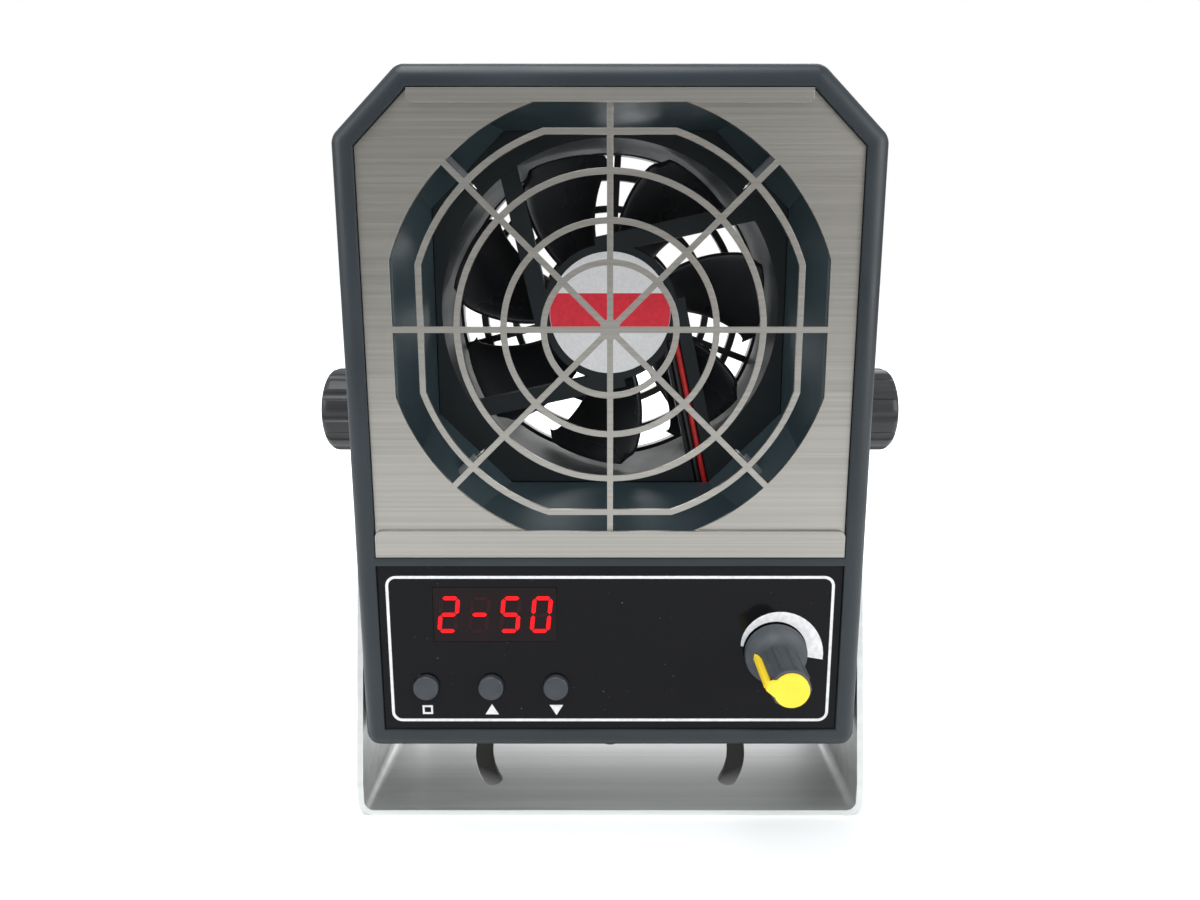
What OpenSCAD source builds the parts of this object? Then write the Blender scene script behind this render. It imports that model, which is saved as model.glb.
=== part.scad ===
// Ionizing blower: a bench-top fan that blows ionized air through a laser-cut grille.
// The housing tilts in a folded sheet bracket and is clamped by two side knobs.
// Origin: centre of the hole in the base plate, on its underside. +Z up, the front faces -Y.

/* [Housing] */
// Width of the housing
body_w = 125; // [121:1:140]
// Height of the housing
body_h = 165; // [162:1:185]
// Depth of the housing, front to back
body_d = 62; // [61:1:80]
// Leg of the 45 degree cut on the two top corners
top_corner = 15.5; // [12:0.5:17]
// Rounding of the upright and bottom corners
corner_r = 3; // [1:0.5:5]
// Rounding of the front and rear edges
edge_r = 3.6; // [2:0.2:4.4]
// Flat face of the front rim, beside its rounding
rim_w = 1.8; // [1.2:0.1:2.6]
// Thickness of the moulded walls
wall = 2.5; // [2:0.1:3]
// Thickness of the front wall, from the rim to the inside
front_t = 3.8; // [3.4:0.1:5]
// Depth of the rear cover
cover_d = 10; // [8:0.5:12]
// Gap between the housing and the base plate
under_gap = 17.5; // [8:0.5:40]
// Gap round a panel that lies in a recess
panel_gap = 0.2; // [0.1:0.05:0.4]

/* [Grille panel] */
// Height of the stainless panel
panel_h = 108; // [106:0.5:110]
// Thickness of the stainless sheet
sheet_t = 0.8; // [0.6:0.1:1]
// Depth of the panel's face below the rim
panel_set = 1; // [0.9:0.1:1.4]
// Distance from the top of the housing to the grille's centre
grille_drop = 58.5; // [58:0.25:60]
// Radius of the opening
opening_r = 52.8; // [49:0.1:53.5]
// Distance from the centre to each of the opening's four flats
opening_flat = 50.35; // [48:0.05:51]
// Radius of the first ring
ring_1 = 15.4; // [12:0.1:18]
// Radius of the second ring
ring_2 = 24.7; // [22:0.1:28]
// Radius of the third ring
ring_3 = 35.5; // [32:0.1:38]
// Radius of the outer ring, which has four flats
ring_4 = 46.3; // [43:0.1:47]
// Distance from the centre to the outer ring's flats
ring_flat = 43.9; // [41:0.1:44.5]
// Width of the rings and the spokes
bar_w = 1.4; // [1:0.1:2]
// Number of spokes
spokes = 8; // [4:4:12]
// Diameter of the disc where the spokes meet
grille_hub = 4.8; // [4:0.1:8]
// Widening of the bars where they cross
crotch = 0.6; // [0.2:0.1:1]
// Height of the folded hem along the top
hem_top = 3; // [2:0.1:5]
// Height of the folded hem along the bottom
hem_low = 6.6; // [4:0.1:8]

/* [Control panel] */
// Width of the bar between the grille and the control plate
divider_w = 2; // [1.5:0.1:3]
// Thickness of the control plate
plate_t = 1.5; // [1.2:0.1:2]
// Depth of the plate's face below the rim
plate_set = 0.6; // [0.4:0.1:0.8]
// Width of the four-digit display
display_w = 30.4; // [29:0.1:32]
// Height of the display
display_h = 14.2; // [13:0.1:16]
// Distance from the centre line to the display's centre
display_x = 28.4; // [26:0.1:30]
// Distance from the plate's top edge to the display's centre
display_drop = 12.6; // [11:0.1:14]
// Height of a digit
digit_h = 9.6; // [8:0.1:10.5]
// Width of a digit
digit_w = 5; // [4:0.1:5.6]
// Width of a lit bar of a digit
segment_w = 1; // [0.7:0.1:1.3]
// Diameter of a push button
button_d = 6.3; // [5:0.1:7.5]
// Height of a button above the plate
button_up = 1.5; // [1:0.1:2.5]
// Travel of a button
button_travel = 0.5; // [0.3:0.05:0.6]
// Distance between neighbouring buttons
button_pitch = 16.25; // [15:0.25:17]
// Distance from the plate's bottom edge to the buttons
button_rise = 11.6; // [10:0.1:13]
// Distance from the centre line to the speed knob
knob_x = 41; // [38:0.5:43]
// Distance from the plate's bottom edge to the speed knob
knob_rise = 21; // [19:0.5:24]
// Diameter of the speed knob's skirt
knob_skirt_d = 15.4; // [14:0.1:18]
// Diameter of the speed knob's barrel
knob_d = 9.2; // [8.6:0.1:11]
// Length of the speed knob
knob_h = 17; // [15:0.5:20]
// Diameter of the potentiometer's shaft
pot_shaft_d = 6; // [5.8:0.1:6.3]
// Diameter of the potentiometer's body
pot_d = 16.4; // [14:0.1:18]
// Thickness of the circuit board
board_t = 1.6; // [1:0.1:2]
// Space between the front wall and the board
board_gap = 4; // [3.8:0.1:5]

/* [Air duct and emitters] */
// Half width of the duct's mouth, inside
mouth_half = 50; // [48.5:0.1:50.4]
// Leg of the 45 degree corners at the duct's mouth
mouth_leg = 11.5; // [9:0.5:16]
// Leg of the 45 degree corners at the fan
throat_leg = 19.5; // [17:0.5:23]
// Thickness of the duct's walls
duct_t = 1.6; // [1.2:0.1:2]
// Rise of the duct's mouth above the grille's centre
mouth_rise = 0.5; // [0:0.1:1]
// Distance of the emitters behind the rim
emitter_set = 18; // [16:0.5:19]
// Radius at which the needle points end
needle_tip_r = 46.3; // [44:0.1:48]
// Length of a needle outside its holder
needle_out = 3; // [2:0.1:4]
// Diameter of a needle
needle_d = 0.8; // [0.6:0.1:1]
// Diameter of a needle holder
holder_d = 2.4; // [2:0.1:3]

/* [Fan] */
// Width and height of the fan
fan_w = 92; // [91.5:0.5:94]
// Thickness of the fan
fan_t = 25; // [24:0.5:26]
// Bore of the fan
fan_bore = 88.8; // [86:0.1:89.5]
// Distance between the fan's mounting holes
fan_pitch = 82.5; // [82:0.25:83.5]
// Diameter of the fan's mounting holes
fan_hole_d = 4.4; // [4.2:0.1:4.6]
// Distance of the fan's face behind the rim
fan_set = 27; // [26.5:0.5:28]
// Rise of the fan's axis above the grille's centre
fan_rise = 2.5; // [1.5:0.25:3]
// Diameter of the motor cup
cup_d = 36; // [34:0.5:38]
// Diameter of the round sticker on the cup
label_d = 32; // [28:0.5:33]
// Width of a strut
strut_w = 4.8; // [4:0.1:6]
// Distance from the fan's axis to a strut's centre line
strut_off = 17.7; // [16:0.1:19]
// Direction of the first strut
strut_turn = 102.3; // [95:0.1:110]
// Number of blades
blades = 7; // [5:1:9]
// Angle that a blade turns through from back to front
blade_twist = 34; // [20:1:40]
// Angle that a blade's tip sweeps forward
blade_sweep = 14; // [0:1:20]
// Thickness of a blade
blade_t = 1.6; // [1.2:0.1:2.2]
// Gap between the blade tips and the fan's bore
tip_gap = 1.1; // [0.8:0.1:2]
// Diameter of the rotor's hub
rotor_hub_d = 37; // [36.5:0.5:40]
// Diameter of the fan's shaft
fan_shaft_d = 3; // [2.8:0.1:3.2]
// Diameter of a fan lead over its insulation
lead_d = 1.5; // [1.2:0.1:1.6]

/* [Rear] */
// Width and height of the rear guard
guard_w = 98; // [96:0.5:100]
// Thickness of the rear guard
guard_t = 2.4; // [2:0.1:3]
// Diameter of the rear guard's opening
guard_open_d = 90; // [88:0.5:92]
// Number of bars across the rear guard
guard_bars = 10; // [8:1:12]
// Width of the rear guard's bars and rings
guard_bar_w = 2; // [1.6:0.1:2.6]
// Distance from the centre line to the power socket
socket_x = 38; // [30:0.5:42]
// Height of the power socket above the housing's bottom
socket_rise = 16; // [13:0.5:20]
// Bore of the power socket
socket_bore = 5.6; // [5.5:0.05:6.5]

/* [Bracket] */
// Thickness of the folded sheet
bracket_t = 1.5; // [1.2:0.1:2]
// Depth of the base plate, front to back
bracket_d = 61.5; // [56:0.5:70]
// Inside radius of the two bends
bend_r = 2.5; // [1.5:0.1:4]
// Gap between the housing and each arm, filled by a washer
side_gap = 1; // [0.8:0.1:2]
// Radius of the rounded end of an arm
arm_r = 14; // [11:0.5:16]
// Height to which the arms keep the plate's full depth
arm_foot = 9; // [6:0.5:14]
// Diameter of the hole in the middle of the base plate
base_hole_d = 6.2; // [5:0.1:8]
// Radius of the two curved slots about the middle hole
slot_r = 37; // [34:0.5:42]
// Width of the curved slots
slot_w = 5; // [4:0.1:6]
// Angle that each curved slot reaches to either side
slot_half = 30; // [20:1:35]

/* [Tilt clamps] */
// Diameter of the clamp's stud
stud_d = 4.9; // [4.5:0.1:5.1]
// Diameter of the brass inserts
insert_d = 7; // [6.6:0.1:8]
// Diameter of a clamp knob
clamp_d = 22.5; // [20:0.5:26]
// Thickness of a clamp knob with its collar
clamp_h = 11; // [9:0.5:14]

/* [Hidden] */
$fn = 72;

// Clearances: a running fit is a radius, the others are on a diameter
run = 0.05;
slip = 0.4;
eps = 0.01;

// Levels along the depth
y_front = -body_d / 2;
y_rear = body_d / 2;
y_inside = y_front + front_t;
y_cover = y_rear - cover_d;
y_panel = y_front + panel_set;
y_panel_back = y_panel + sheet_t;
y_plate = y_front + plate_set;
y_plate_back = y_plate + plate_t;
y_board = y_inside + board_gap;
y_board_back = y_board + board_t;
y_fan = y_front + fan_set;
y_fan_back = y_fan + fan_t;
y_emitter = y_front + emitter_set;
y_guard = y_rear - 1.5;

// Heights
z_bottom = bracket_t + under_gap;
z_top = z_bottom + body_h;
z_pivot = z_bottom + body_h / 2;
z_grille = z_top - grille_drop;
z_mouth = z_grille + mouth_rise;
z_fan = z_grille + fan_rise;
rim = edge_r + rim_w;
z_panel_top = z_top - rim - panel_gap;
z_panel_low = z_panel_top - panel_h;
z_plate_top = z_panel_low - divider_w - 2 * panel_gap;
z_plate_low = z_bottom + rim + panel_gap;
z_display = z_plate_top - display_drop;
z_buttons = z_plate_low + button_rise;
z_knob = z_plate_low + knob_rise;
z_socket = z_bottom + socket_rise;
panel_half = body_w / 2 - rim - panel_gap;
inside_half = body_w / 2 - wall;
arm_in = body_w / 2 + side_gap;
arm_out = arm_in + bracket_t;

// Push buttons, counted from the left
button_xs = [for (i = [-1, 0, 1]) -display_x - 1.4 + i * button_pitch];
button_flange_d = button_d + 1.7;
switch_w = 6;
switch_h = board_gap - 0.5;
stem_d = 3.3;

// Screws: shank and head diameters, head height
board_screw = [2.2, 4.2, 1.6];
duct_screw = [2.6, 4.8, 1.8];
fan_screw = [3.9, 7.2, 2.4];
guard_screw = [2.6, 4.8, 1.8];
cover_screw = [2.6, 5.4, 2];
hv_screw = [2.6, 5, 1.8];

// Control board: outline and the four screw posts
board_x = [-inside_half + 5, 28];
board_z = [z_bottom + wall + 5.5, z_plate_top - 4];
post_d = 6;
board_posts = [for (x = [board_x[0] + 3.6, board_x[1] - 3.6],
    z = [board_z[0] + 3.3, board_z[1] - 3.3]) [x, z]];

// Ears that hold the duct to the front wall
ear_d = 7;
ear_t = 2;
ear_gap = 4;
y_ear = y_inside + ear_gap;
duct_ears = [for (x = [-1, 1], z = [-1, 1]) [x * (inside_half - 4.7), z_mouth + z * 40]];

// Cover bosses on the side walls
boss_d = 9.6;
boss_x = inside_half - boss_d / 2 + 0.3;
boss_len = 20;
cover_bosses = [for (x = [-1, 1], z = [z_bottom + 8, z_top - top_corner - 4]) [x * boss_x, z]];

// Fan: the parts of the motor
bearing_d = 8;
bearing_w = 3;
tube_d = 10;
cup_t = 2.5;
y_cup = y_fan + cup_t;
y_tube_end = y_fan + 18;
rotor_wall = 1.5;
rotor_bore = rotor_hub_d - 2 * rotor_wall;
y_rotor = y_cup + 1.5;
y_rotor_back = y_fan_back - 1;
magnet_t = 1.8;
stator_d = rotor_bore - 2 * magnet_t - 1.4;
flange_t = 3.6;
barrel_t = 1.2;
strut_t = 3.6;
blade_r0 = rotor_hub_d / 2 - rotor_wall / 2;
blade_r1 = fan_bore / 2 - tip_gap;
blade_h = y_rotor_back - y_rotor - 4;
fan_holes = [for (x = [-1, 1], z = [-1, 1]) [x * fan_pitch / 2, z_fan + z * fan_pitch / 2]];

// The strut that carries the leads is wider, with a channel in its face
lead_turn = strut_turn + 180;
lead_off = strut_off - 2.9;
channel_w = 2 * lead_d + 0.6;
channel_t = lead_d + 0.3;
lead_dir = [cos(lead_turn), sin(lead_turn)];
lead_side = [-sin(lead_turn), cos(lead_turn)];

// Rear guard
guard_pitch = 86;
guard_ring_rs = [20, 29.5, 38.8];
guard_screws_at = [for (x = [-1, 1], z = [-1, 1])
    [x * guard_pitch / 2, z_fan + z * guard_pitch / 2]];

// Power socket
socket_d = 8;
socket_deep = 9.5;
socket_len = 13;

// High-voltage module on the floor of the housing
hv_size = [52, 28, 22];
hv_x = -12;
hv_y = 2.5;
hv_lug = 8;
hv_lug_t = 2;
hv_post_h = 5;
z_floor = z_bottom + wall;

// Tilt clamps
insert_len = 8.5;
insert_wall = 3.5;
insert_boss_d = insert_d + 5;
stud_deep = 7;
collar_d = 14;
collar_h = 2;

// ---- Shared shapes ----

// Points of an arc about (x, y), both ends included
function arc(x, y, r, a0, a1, n = 5) =
    [for (i = [0:n]) let (a = a0 + (a1 - a0) * i / n) [x + r * cos(a), y + r * sin(a)]];

// Front outline of the housing, drawn in by "inset" on every side
function case_points(inset) =
    let (hw = body_w / 2 - inset, low = z_bottom + inset, top = z_top - inset,
        leg = top_corner - inset * (2 - sqrt(2)), r = max(corner_r - inset, 0.3),
        k = r * tan(22.5))
    concat(
        arc(hw - r, low + r, r, -90, 0),
        arc(hw - r, top - leg - k, r, 0, 45),
        arc(hw - leg - k, top - r, r, 45, 90),
        arc(-hw + leg + k, top - r, r, 90, 135),
        arc(-hw + r, top - leg - k, r, 135, 180),
        arc(-hw + r, low + r, r, 180, 270));

// Outline of the grille panel: square corners below, 45 degree corners above
function panel_points(grow) =
    let (hw = panel_half + grow, low = z_panel_low - grow, top = z_panel_top + grow,
        leg = top_corner - (rim + panel_gap - grow) * (2 - sqrt(2)))
    [[-hw, low], [hw, low], [hw, top - leg], [hw - leg, top], [-hw + leg, top], [-hw, top - leg]];

// Square with 45 degree corners about (0, z)
function octagon(half, leg, z) =
    let (a = half - leg)
    [[half, z - a], [half, z + a], [a, z + half], [-a, z + half],
        [-half, z + a], [-half, z - a], [-a, z - half], [a, z - half]];

// A flat front view pushed back from y by the given depth
module slab(y, depth) {
    translate([0, y + depth, 0]) rotate([90, 0, 0]) linear_extrude(height = depth) children();
}

// A round bar along the depth
module rod(d, y, len, at = [0, 0]) {
    translate([at[0], y, at[1]]) rotate([-90, 0, 0]) cylinder(d = d, h = len);
}

// A round bar along the width
module axle(d, x0, x1) {
    translate([min(x0, x1), 0, z_pivot]) rotate([0, 90, 0]) cylinder(d = d, h = abs(x1 - x0));
}

// A rectangle with exact round corners, from its low corner
module rounded(w, h, r) {
    translate([r, 0]) square([w - 2 * r, h]);
    translate([0, r]) square([w, h - 2 * r]);
    for (x = [r, w - r], y = [r, h - r]) translate([x, y]) circle(r = r, $fn = 48);
}

// A pan-head screw along the depth; the head lies behind y
module pan_screw(s, y, len, at) {
    rod(s[0], y - len, len, at);
    difference() {
        rod(s[1], y, s[2], at);
        for (a = [0, 90]) translate([at[0], y + s[2], at[1]]) rotate([0, a, 0])
            cube([0.6, s[2] * 1.1, s[1] * 0.6], center = true);
    }
}

// The whole outside of the housing, with rounded front and rear edges: outlines in layers
module case_solid() {
    rounding = [for (a = [0:15:90]) edge_r * [1 - sin(a), 1 - cos(a)]];
    last = 2 * len(rounding) - 1;
    layers = concat([for (q = rounding) [q[0], y_front + q[1]]],
        [for (i = [len(rounding) - 1:-1:0]) [rounding[i][0], y_rear - rounding[i][1]]]);
    n = len(case_points(0));
    points = [for (l = layers) each [for (p = case_points(l[0])) [p[0], l[1], p[1]]]];
    faces = concat([[for (i = [n - 1:-1:0]) i]], [[for (i = [0:n - 1]) last * n + i]],
        [for (k = [0:last - 1], i = [0:n - 1]) let (j = (i + 1) % n)
            [k * n + i, k * n + j, (k + 1) * n + j, (k + 1) * n + i]]);
    polyhedron(points = points, faces = faces, convexity = 4);
}

// A box that keeps what lies in front of y, or behind it
module before(y) translate([-body_w, y - 2 * body_d, 0]) cube([2 * body_w, 2 * body_d, 2 * z_top]);
module behind(y) translate([-body_w, y, 0]) cube([2 * body_w, 2 * body_d, 2 * z_top]);

// ---- Bracket and tilt clamps ----

// Front view of a U with round bottom corners
module u_outline(half, z, r) {
    translate([-half, z + r]) square([2 * half, z_top]);
    translate([-half + r, z]) square([2 * (half - r), z_top]);
    for (x = [-1, 1]) translate([x * (half - r), z + r]) circle(r = r);
}

// Side view of the arms: full depth at the foot, straight sides up to the round end
module arm_outline() {
    p = [bracket_d / 2, arm_foot - z_pivot];
    lean = atan2(p[1], p[0]) + acos(arm_r / norm(p));
    polygon(concat([[-p[0], -1], [p[0], -1], [p[0], arm_foot]],
        arc(0, z_pivot, arm_r, lean, 180 - lean, 24), [[-p[0], arm_foot]]));
}

// A curved slot about the middle hole, with round ends
module curved_slot() {
    w = slot_w / 2;
    h = slot_half;
    polygon(concat(arc(0, 0, slot_r + w, -h, h, 16),
        arc(slot_r * cos(h), slot_r * sin(h), w, h + 22.5, h + 157.5, 6),
        arc(0, 0, slot_r - w, h, -h, 16),
        arc(slot_r * cos(h), -slot_r * sin(h), w, 202.5 - h, 337.5 - h, 6)));
}

module bracket() {
    color("lightgray") difference() {
        intersection() {
            slab(-bracket_d / 2, bracket_d) difference() {
                u_outline(arm_out, 0, bend_r + bracket_t);
                u_outline(arm_in, bracket_t, bend_r);
            }
            translate([-body_w, 0, 0]) rotate([90, 0, 90]) linear_extrude(height = 2 * body_w)
                arm_outline();
        }
        translate([0, 0, -1]) cylinder(d = base_hole_d, h = bracket_t + 2);
        for (a = [0, 180]) rotate(a) translate([0, 0, -1])
            linear_extrude(height = bracket_t + 2) curved_slot();
        axle(stud_d + slip, -arm_out - 1, arm_out + 1);
    }
}

// Washer between an arm and the housing
module tilt_washer(side) {
    color("dimgray") difference() {
        axle(2 * arm_r - 10, side * body_w / 2, side * arm_in);
        axle(stud_d + slip, side * (body_w / 2 - 1), side * (arm_in + 1));
    }
}
module washer_left() tilt_washer(-1);
module washer_right() tilt_washer(1);

// Round knob with finger scallops, a collar against the arm and a blind bore for the stud
module clamp_knob(side) {
    head = clamp_h - collar_h;
    color([0.12, 0.13, 0.14]) difference() {
        translate([side * arm_out, 0, z_pivot]) rotate([0, side * 90, 0]) difference() {
            rotate_extrude() polygon(concat(
                [[0, 0], [collar_d / 2, 0], [collar_d / 2, collar_h], [clamp_d / 2 - 1, collar_h]],
                arc(clamp_d / 2 - 1, collar_h + 1, 1, -90, 0),
                arc(clamp_d / 2 - 2, clamp_h - 2, 2, 0, 90), [[0, clamp_h]]));
            for (i = [0:11]) rotate(i * 30) translate([clamp_d / 2 + 1.2, 0, collar_h - 1])
                cylinder(r = 2, h = head + 2, $fn = 32);
        }
        axle(stud_d, side * (arm_out - 1), side * (arm_out + stud_deep));
    }
}
module clamp_knob_left() clamp_knob(-1);
module clamp_knob_right() clamp_knob(1);

// Steel stud moulded into the clamp knob
module clamp_stud(side) {
    color("silver")
        axle(stud_d, side * (body_w / 2 - insert_len + 0.5), side * (arm_out + stud_deep));
}
module stud_left() clamp_stud(-1);
module stud_right() clamp_stud(1);

module tilt_inserts() {
    color("goldenrod") for (side = [-1, 1]) difference() {
        axle(insert_d, side * (body_w / 2 - insert_len), side * body_w / 2);
        axle(stud_d + 2 * run, side * (body_w / 2 - insert_len - 1), side * (body_w / 2 + 1));
    }
}

// ---- Housing ----

module front_case() {
    color([0.2, 0.25, 0.29]) difference() {
        union() {
            difference() {
                intersection() {
                    case_solid();
                    before(y_cover);
                }
                slab(y_inside, body_d) polygon(case_points(wall));
            }
            for (side = [-1, 1]) axle(insert_boss_d, side * (inside_half + 0.5),
                side * (body_w / 2 - insert_len - insert_wall));
            for (p = cover_bosses) rod(boss_d, y_cover - boss_len, boss_len, p);
            for (p = board_posts) rod(post_d, y_inside - eps, board_gap + eps, p);
            for (p = duct_ears) rod(ear_d, y_inside - eps, ear_gap + eps, p);
            for (x = hv_lug_xs()) translate([x, hv_y, z_floor - eps])
                cylinder(d = 6, h = hv_post_h + eps);
        }
        // Recesses for the grille panel and the control plate
        slab(y_front - 1, 1 + y_panel_back - y_front) polygon(panel_points(panel_gap));
        slab(y_front - 1, 1 + y_plate_back - y_front)
            translate([-panel_half - panel_gap, z_plate_low - panel_gap])
            square([2 * (panel_half + panel_gap), z_plate_top - z_plate_low + 2 * panel_gap]);
        // Openings behind them
        slab(y_front, front_t + 1)
            polygon(octagon(mouth_half + duct_t + panel_gap, mouth_leg, z_mouth));
        slab(y_front, front_t + 1)
            translate([-display_x - display_w / 2 - 0.3, z_display - display_h / 2 - 0.3])
            square([display_w + 0.6, display_h + 0.6]);
        for (x = button_xs) rod(button_flange_d + 0.8, y_front, front_t + 1, [x, z_buttons]);
        rod(bushing_d + slip, y_front, front_t + 1, [knob_x, z_knob]);
        // Pilot holes and the seats of the brass inserts
        for (p = board_posts) rod(board_screw[0], y_board - 4.6, 5, p);
        for (p = duct_ears) rod(duct_screw[0], y_ear - 5, 6, p);
        for (p = cover_bosses) rod(cover_screw[0], y_cover - 12, 13, p);
        for (x = hv_lug_xs()) translate([x, hv_y, z_floor - 1])
            cylinder(d = hv_screw[0], h = hv_post_h + 2);
        for (side = [-1, 1])
            axle(insert_d, side * (body_w / 2 - insert_len), side * (body_w / 2 + 1));
    }
}

module rear_cover() {
    lip_gap = 0.15;
    lip_t = 1.2;
    lip_h = 2.5;
    color([0.2, 0.25, 0.29]) difference() {
        union() {
            difference() {
                intersection() {
                    case_solid();
                    behind(y_cover);
                }
                slab(y_cover - 1, cover_d - wall + 1) polygon(case_points(wall));
            }
            // Lip that enters the front shell, on a root inside the cover's wall
            difference() {
                slab(y_cover - lip_h, lip_h + 3) difference() {
                    polygon(case_points(wall + lip_gap));
                    polygon(case_points(wall + lip_gap + lip_t));
                }
                for (p = cover_bosses) rod(boss_d + 0.6, y_cover - lip_h - 1, lip_h + 1, p);
            }
            slab(y_cover, 3) difference() {
                polygon(case_points(wall - 0.3));
                polygon(case_points(wall + lip_gap + lip_t));
            }
            for (p = cover_bosses) rod(boss_d, y_cover, cover_d - 1, p);
        }
        // Seat and opening for the rear guard, and its screw holes
        slab(y_guard, 5) translate([-guard_w / 2 - panel_gap, z_fan - guard_w / 2 - panel_gap])
            rounded(guard_w + 2 * panel_gap, guard_w + 2 * panel_gap, 4);
        rod(guard_open_d, y_cover, cover_d, [0, z_fan]);
        for (p = guard_screws_at) rod(guard_screw[0], y_guard - 5, 6, p);
        // Sunk screw holes
        for (p = cover_bosses) {
            rod(cover_screw[0] + slip, y_cover - 1, cover_d + 2, p);
            rod(cover_screw[1] + slip, y_rear - 4, 5, p);
        }
        rod(socket_d + 0.2, y_cover, cover_d + 1, [socket_x, z_socket]);
    }
}

module cover_screws() {
    color("silver") for (p = cover_bosses) pan_screw(cover_screw, y_rear - 4, cover_d - 4 + 11, p);
}

// ---- Grille panel ----

// A ring of bar width, clipped to a square of the given half size
module ring(r, flat = 0) {
    intersection() {
        circle(r = r + bar_w / 2);
        square(2 * (flat > 0 ? flat + bar_w / 2 : r + bar_w), center = true);
    }
}
module web_ring(r, flat = 0) {
    difference() {
        ring(r, flat);
        ring(r - bar_w, flat > 0 ? flat - bar_w : 0);
    }
}

// Distance along a spoke to a ring that may have flats
function reach(r, flat, a) = flat > 0 ? min(r, flat / max(abs(cos(a)), abs(sin(a)))) : r;

// The spider web: rings and spokes, with widened crossings
module spider_web() {
    for (r = [ring_1, ring_2, ring_3]) web_ring(r);
    web_ring(ring_4, ring_flat);
    circle(d = grille_hub);
    for (i = [0:spokes - 1]) rotate(i * 360 / spokes) {
        a = i * 360 / spokes;
        translate([0, -bar_w / 2]) square([opening_r + 1, bar_w]);
        for (r = [ring_1, ring_2, ring_3, reach(ring_4, ring_flat, a)])
            translate([r, 0]) rotate(45) square((bar_w + crotch) * sqrt(2) * 0.75, center = true);
    }
}

module grille_panel() {
    top_w = 2 * (panel_half - top_corner + (rim + panel_gap) * (2 - sqrt(2)));
    color("silver") {
        slab(y_panel, sheet_t) {
            difference() {
                polygon(panel_points(0));
                translate([0, z_grille]) intersection() {
                    circle(r = opening_r);
                    square(2 * opening_flat, center = true);
                }
            }
            translate([0, z_grille]) intersection() {
                spider_web();
                square(2 * opening_flat + 1, center = true);
            }
        }
        // Top hem with round lower corners, bottom hem with round upper corners
        slab(y_panel - sheet_t, sheet_t + eps) {
            translate([-top_w / 2, z_panel_top - hem_top]) difference() {
                rounded(top_w, 2 * hem_top, 1.2);
                translate([-1, hem_top]) square([top_w + 2, hem_top + 1]);
            }
            translate([-panel_half, z_panel_low - hem_low]) difference() {
                rounded(2 * panel_half, 2 * hem_low, 1.6);
                translate([-1, -1]) square([2 * panel_half + 2, hem_low + 1]);
            }
        }
    }
}

// ---- Control panel ----

bushing_d = 7;

module control_plate() {
    color([0.05, 0.05, 0.06]) slab(y_plate, plate_t) difference() {
        translate([-panel_half, z_plate_low])
            square([2 * panel_half, z_plate_top - z_plate_low]);
        translate([-display_x - display_w / 2 - 0.1, z_display - display_h / 2 - 0.1])
            square([display_w + 0.2, display_h + 0.2]);
        for (x = button_xs) translate([x, z_buttons]) circle(d = button_d + 0.2);
        translate([knob_x, z_knob]) circle(d = bushing_d + 0.2);
    }
}

// Seven-segment digits: bars a to g, the bars lit on each of the four places
digit_pitch = 7.62;
digit_lean = 6;
lit_bars = ["abged", "g", "afgcd", "abcdef"];
bar_names = "abcdefg";

// Centre and direction of a bar, in a digit drawn about its own centre
function bar_place(s) =
    let (w = digit_w / 2 - segment_w / 2, h = digit_h / 2 - segment_w / 2)
    s == "a" ? [0, h, 0] : s == "b" ? [w, h / 2, 90] : s == "c" ? [w, -h / 2, 90] :
    s == "d" ? [0, -h, 0] : s == "e" ? [-w, -h / 2, 90] : s == "f" ? [-w, h / 2, 90] : [0, 0, 0];

// Six-sided bar, leaned over with its digit
function bar_points(s) =
    let (p = bar_place(s), k = segment_w / 2,
        l = (p[2] == 0 ? digit_w - segment_w : digit_h / 2 - segment_w / 2) / 2 - 0.18)
    [for (q = [[-l, 0], [-l + k, k], [l - k, k], [l, 0], [l - k, -k], [-l + k, -k]])
        let (x = p[0] + (p[2] == 0 ? q[0] : -q[1]), z = p[1] + (p[2] == 0 ? q[1] : q[0]))
        [x + z * tan(digit_lean), z]];

module digit_bars(lit) {
    for (i = [0:3], s = bar_names) if ((len(search(s, lit_bars[i])) > 0) == lit)
        translate([-display_x + (i - 1.5) * digit_pitch, z_display]) polygon(bar_points(s));
}

segment_t = 0.4;
segment_up = 0.05;

module display_module() {
    color([0.04, 0.04, 0.05]) difference() {
        slab(y_plate, y_board - y_plate)
            translate([-display_x - display_w / 2, z_display - display_h / 2])
            square([display_w, display_h]);
        slab(y_plate - 1, 1 + segment_t) {
            digit_bars(true);
            digit_bars(false);
        }
    }
}
module lit_segments() {
    color("red") slab(y_plate - segment_up, segment_t + segment_up) digit_bars(true);
}
module dark_segments() {
    color([0.15, 0.05, 0.05]) slab(y_plate - segment_up, segment_t + segment_up)
        digit_bars(false);
}

// Push button: cap through the plate, flange behind it, stem into its switch
module push_button(i) {
    at = [button_xs[i], z_buttons];
    flange_y = y_plate_back + 0.1;
    flange_len = 1.1;
    color([0.16, 0.19, 0.23]) union() {
        translate([at[0], y_plate - button_up, at[1]]) rotate([-90, 0, 0]) rotate_extrude()
            polygon(concat([[0, 0]], arc(button_d / 2 - 0.5, 0.5, 0.5, -90, 0),
                [[button_d / 2, flange_y - y_plate + button_up + 0.1],
                [0, flange_y - y_plate + button_up + 0.1]]));
        rod(button_flange_d, flange_y, flange_len, at);
        rod(stem_d, flange_y, y_board - switch_h + 1.2 - flange_y, at);
    }
}
module mode_button() push_button(0);
module up_button() push_button(1);
module down_button() push_button(2);

module tact_switches() {
    color([0.1, 0.1, 0.1]) for (x = button_xs) difference() {
        translate([x - switch_w / 2, y_board - switch_h, z_buttons - switch_w / 2])
            cube([switch_w, switch_h, switch_w]);
        rod(stem_d + 2 * run, y_board - switch_h - 1, 1 + 1.2 + button_travel + 0.2,
            [x, z_buttons]);
    }
}

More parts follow.
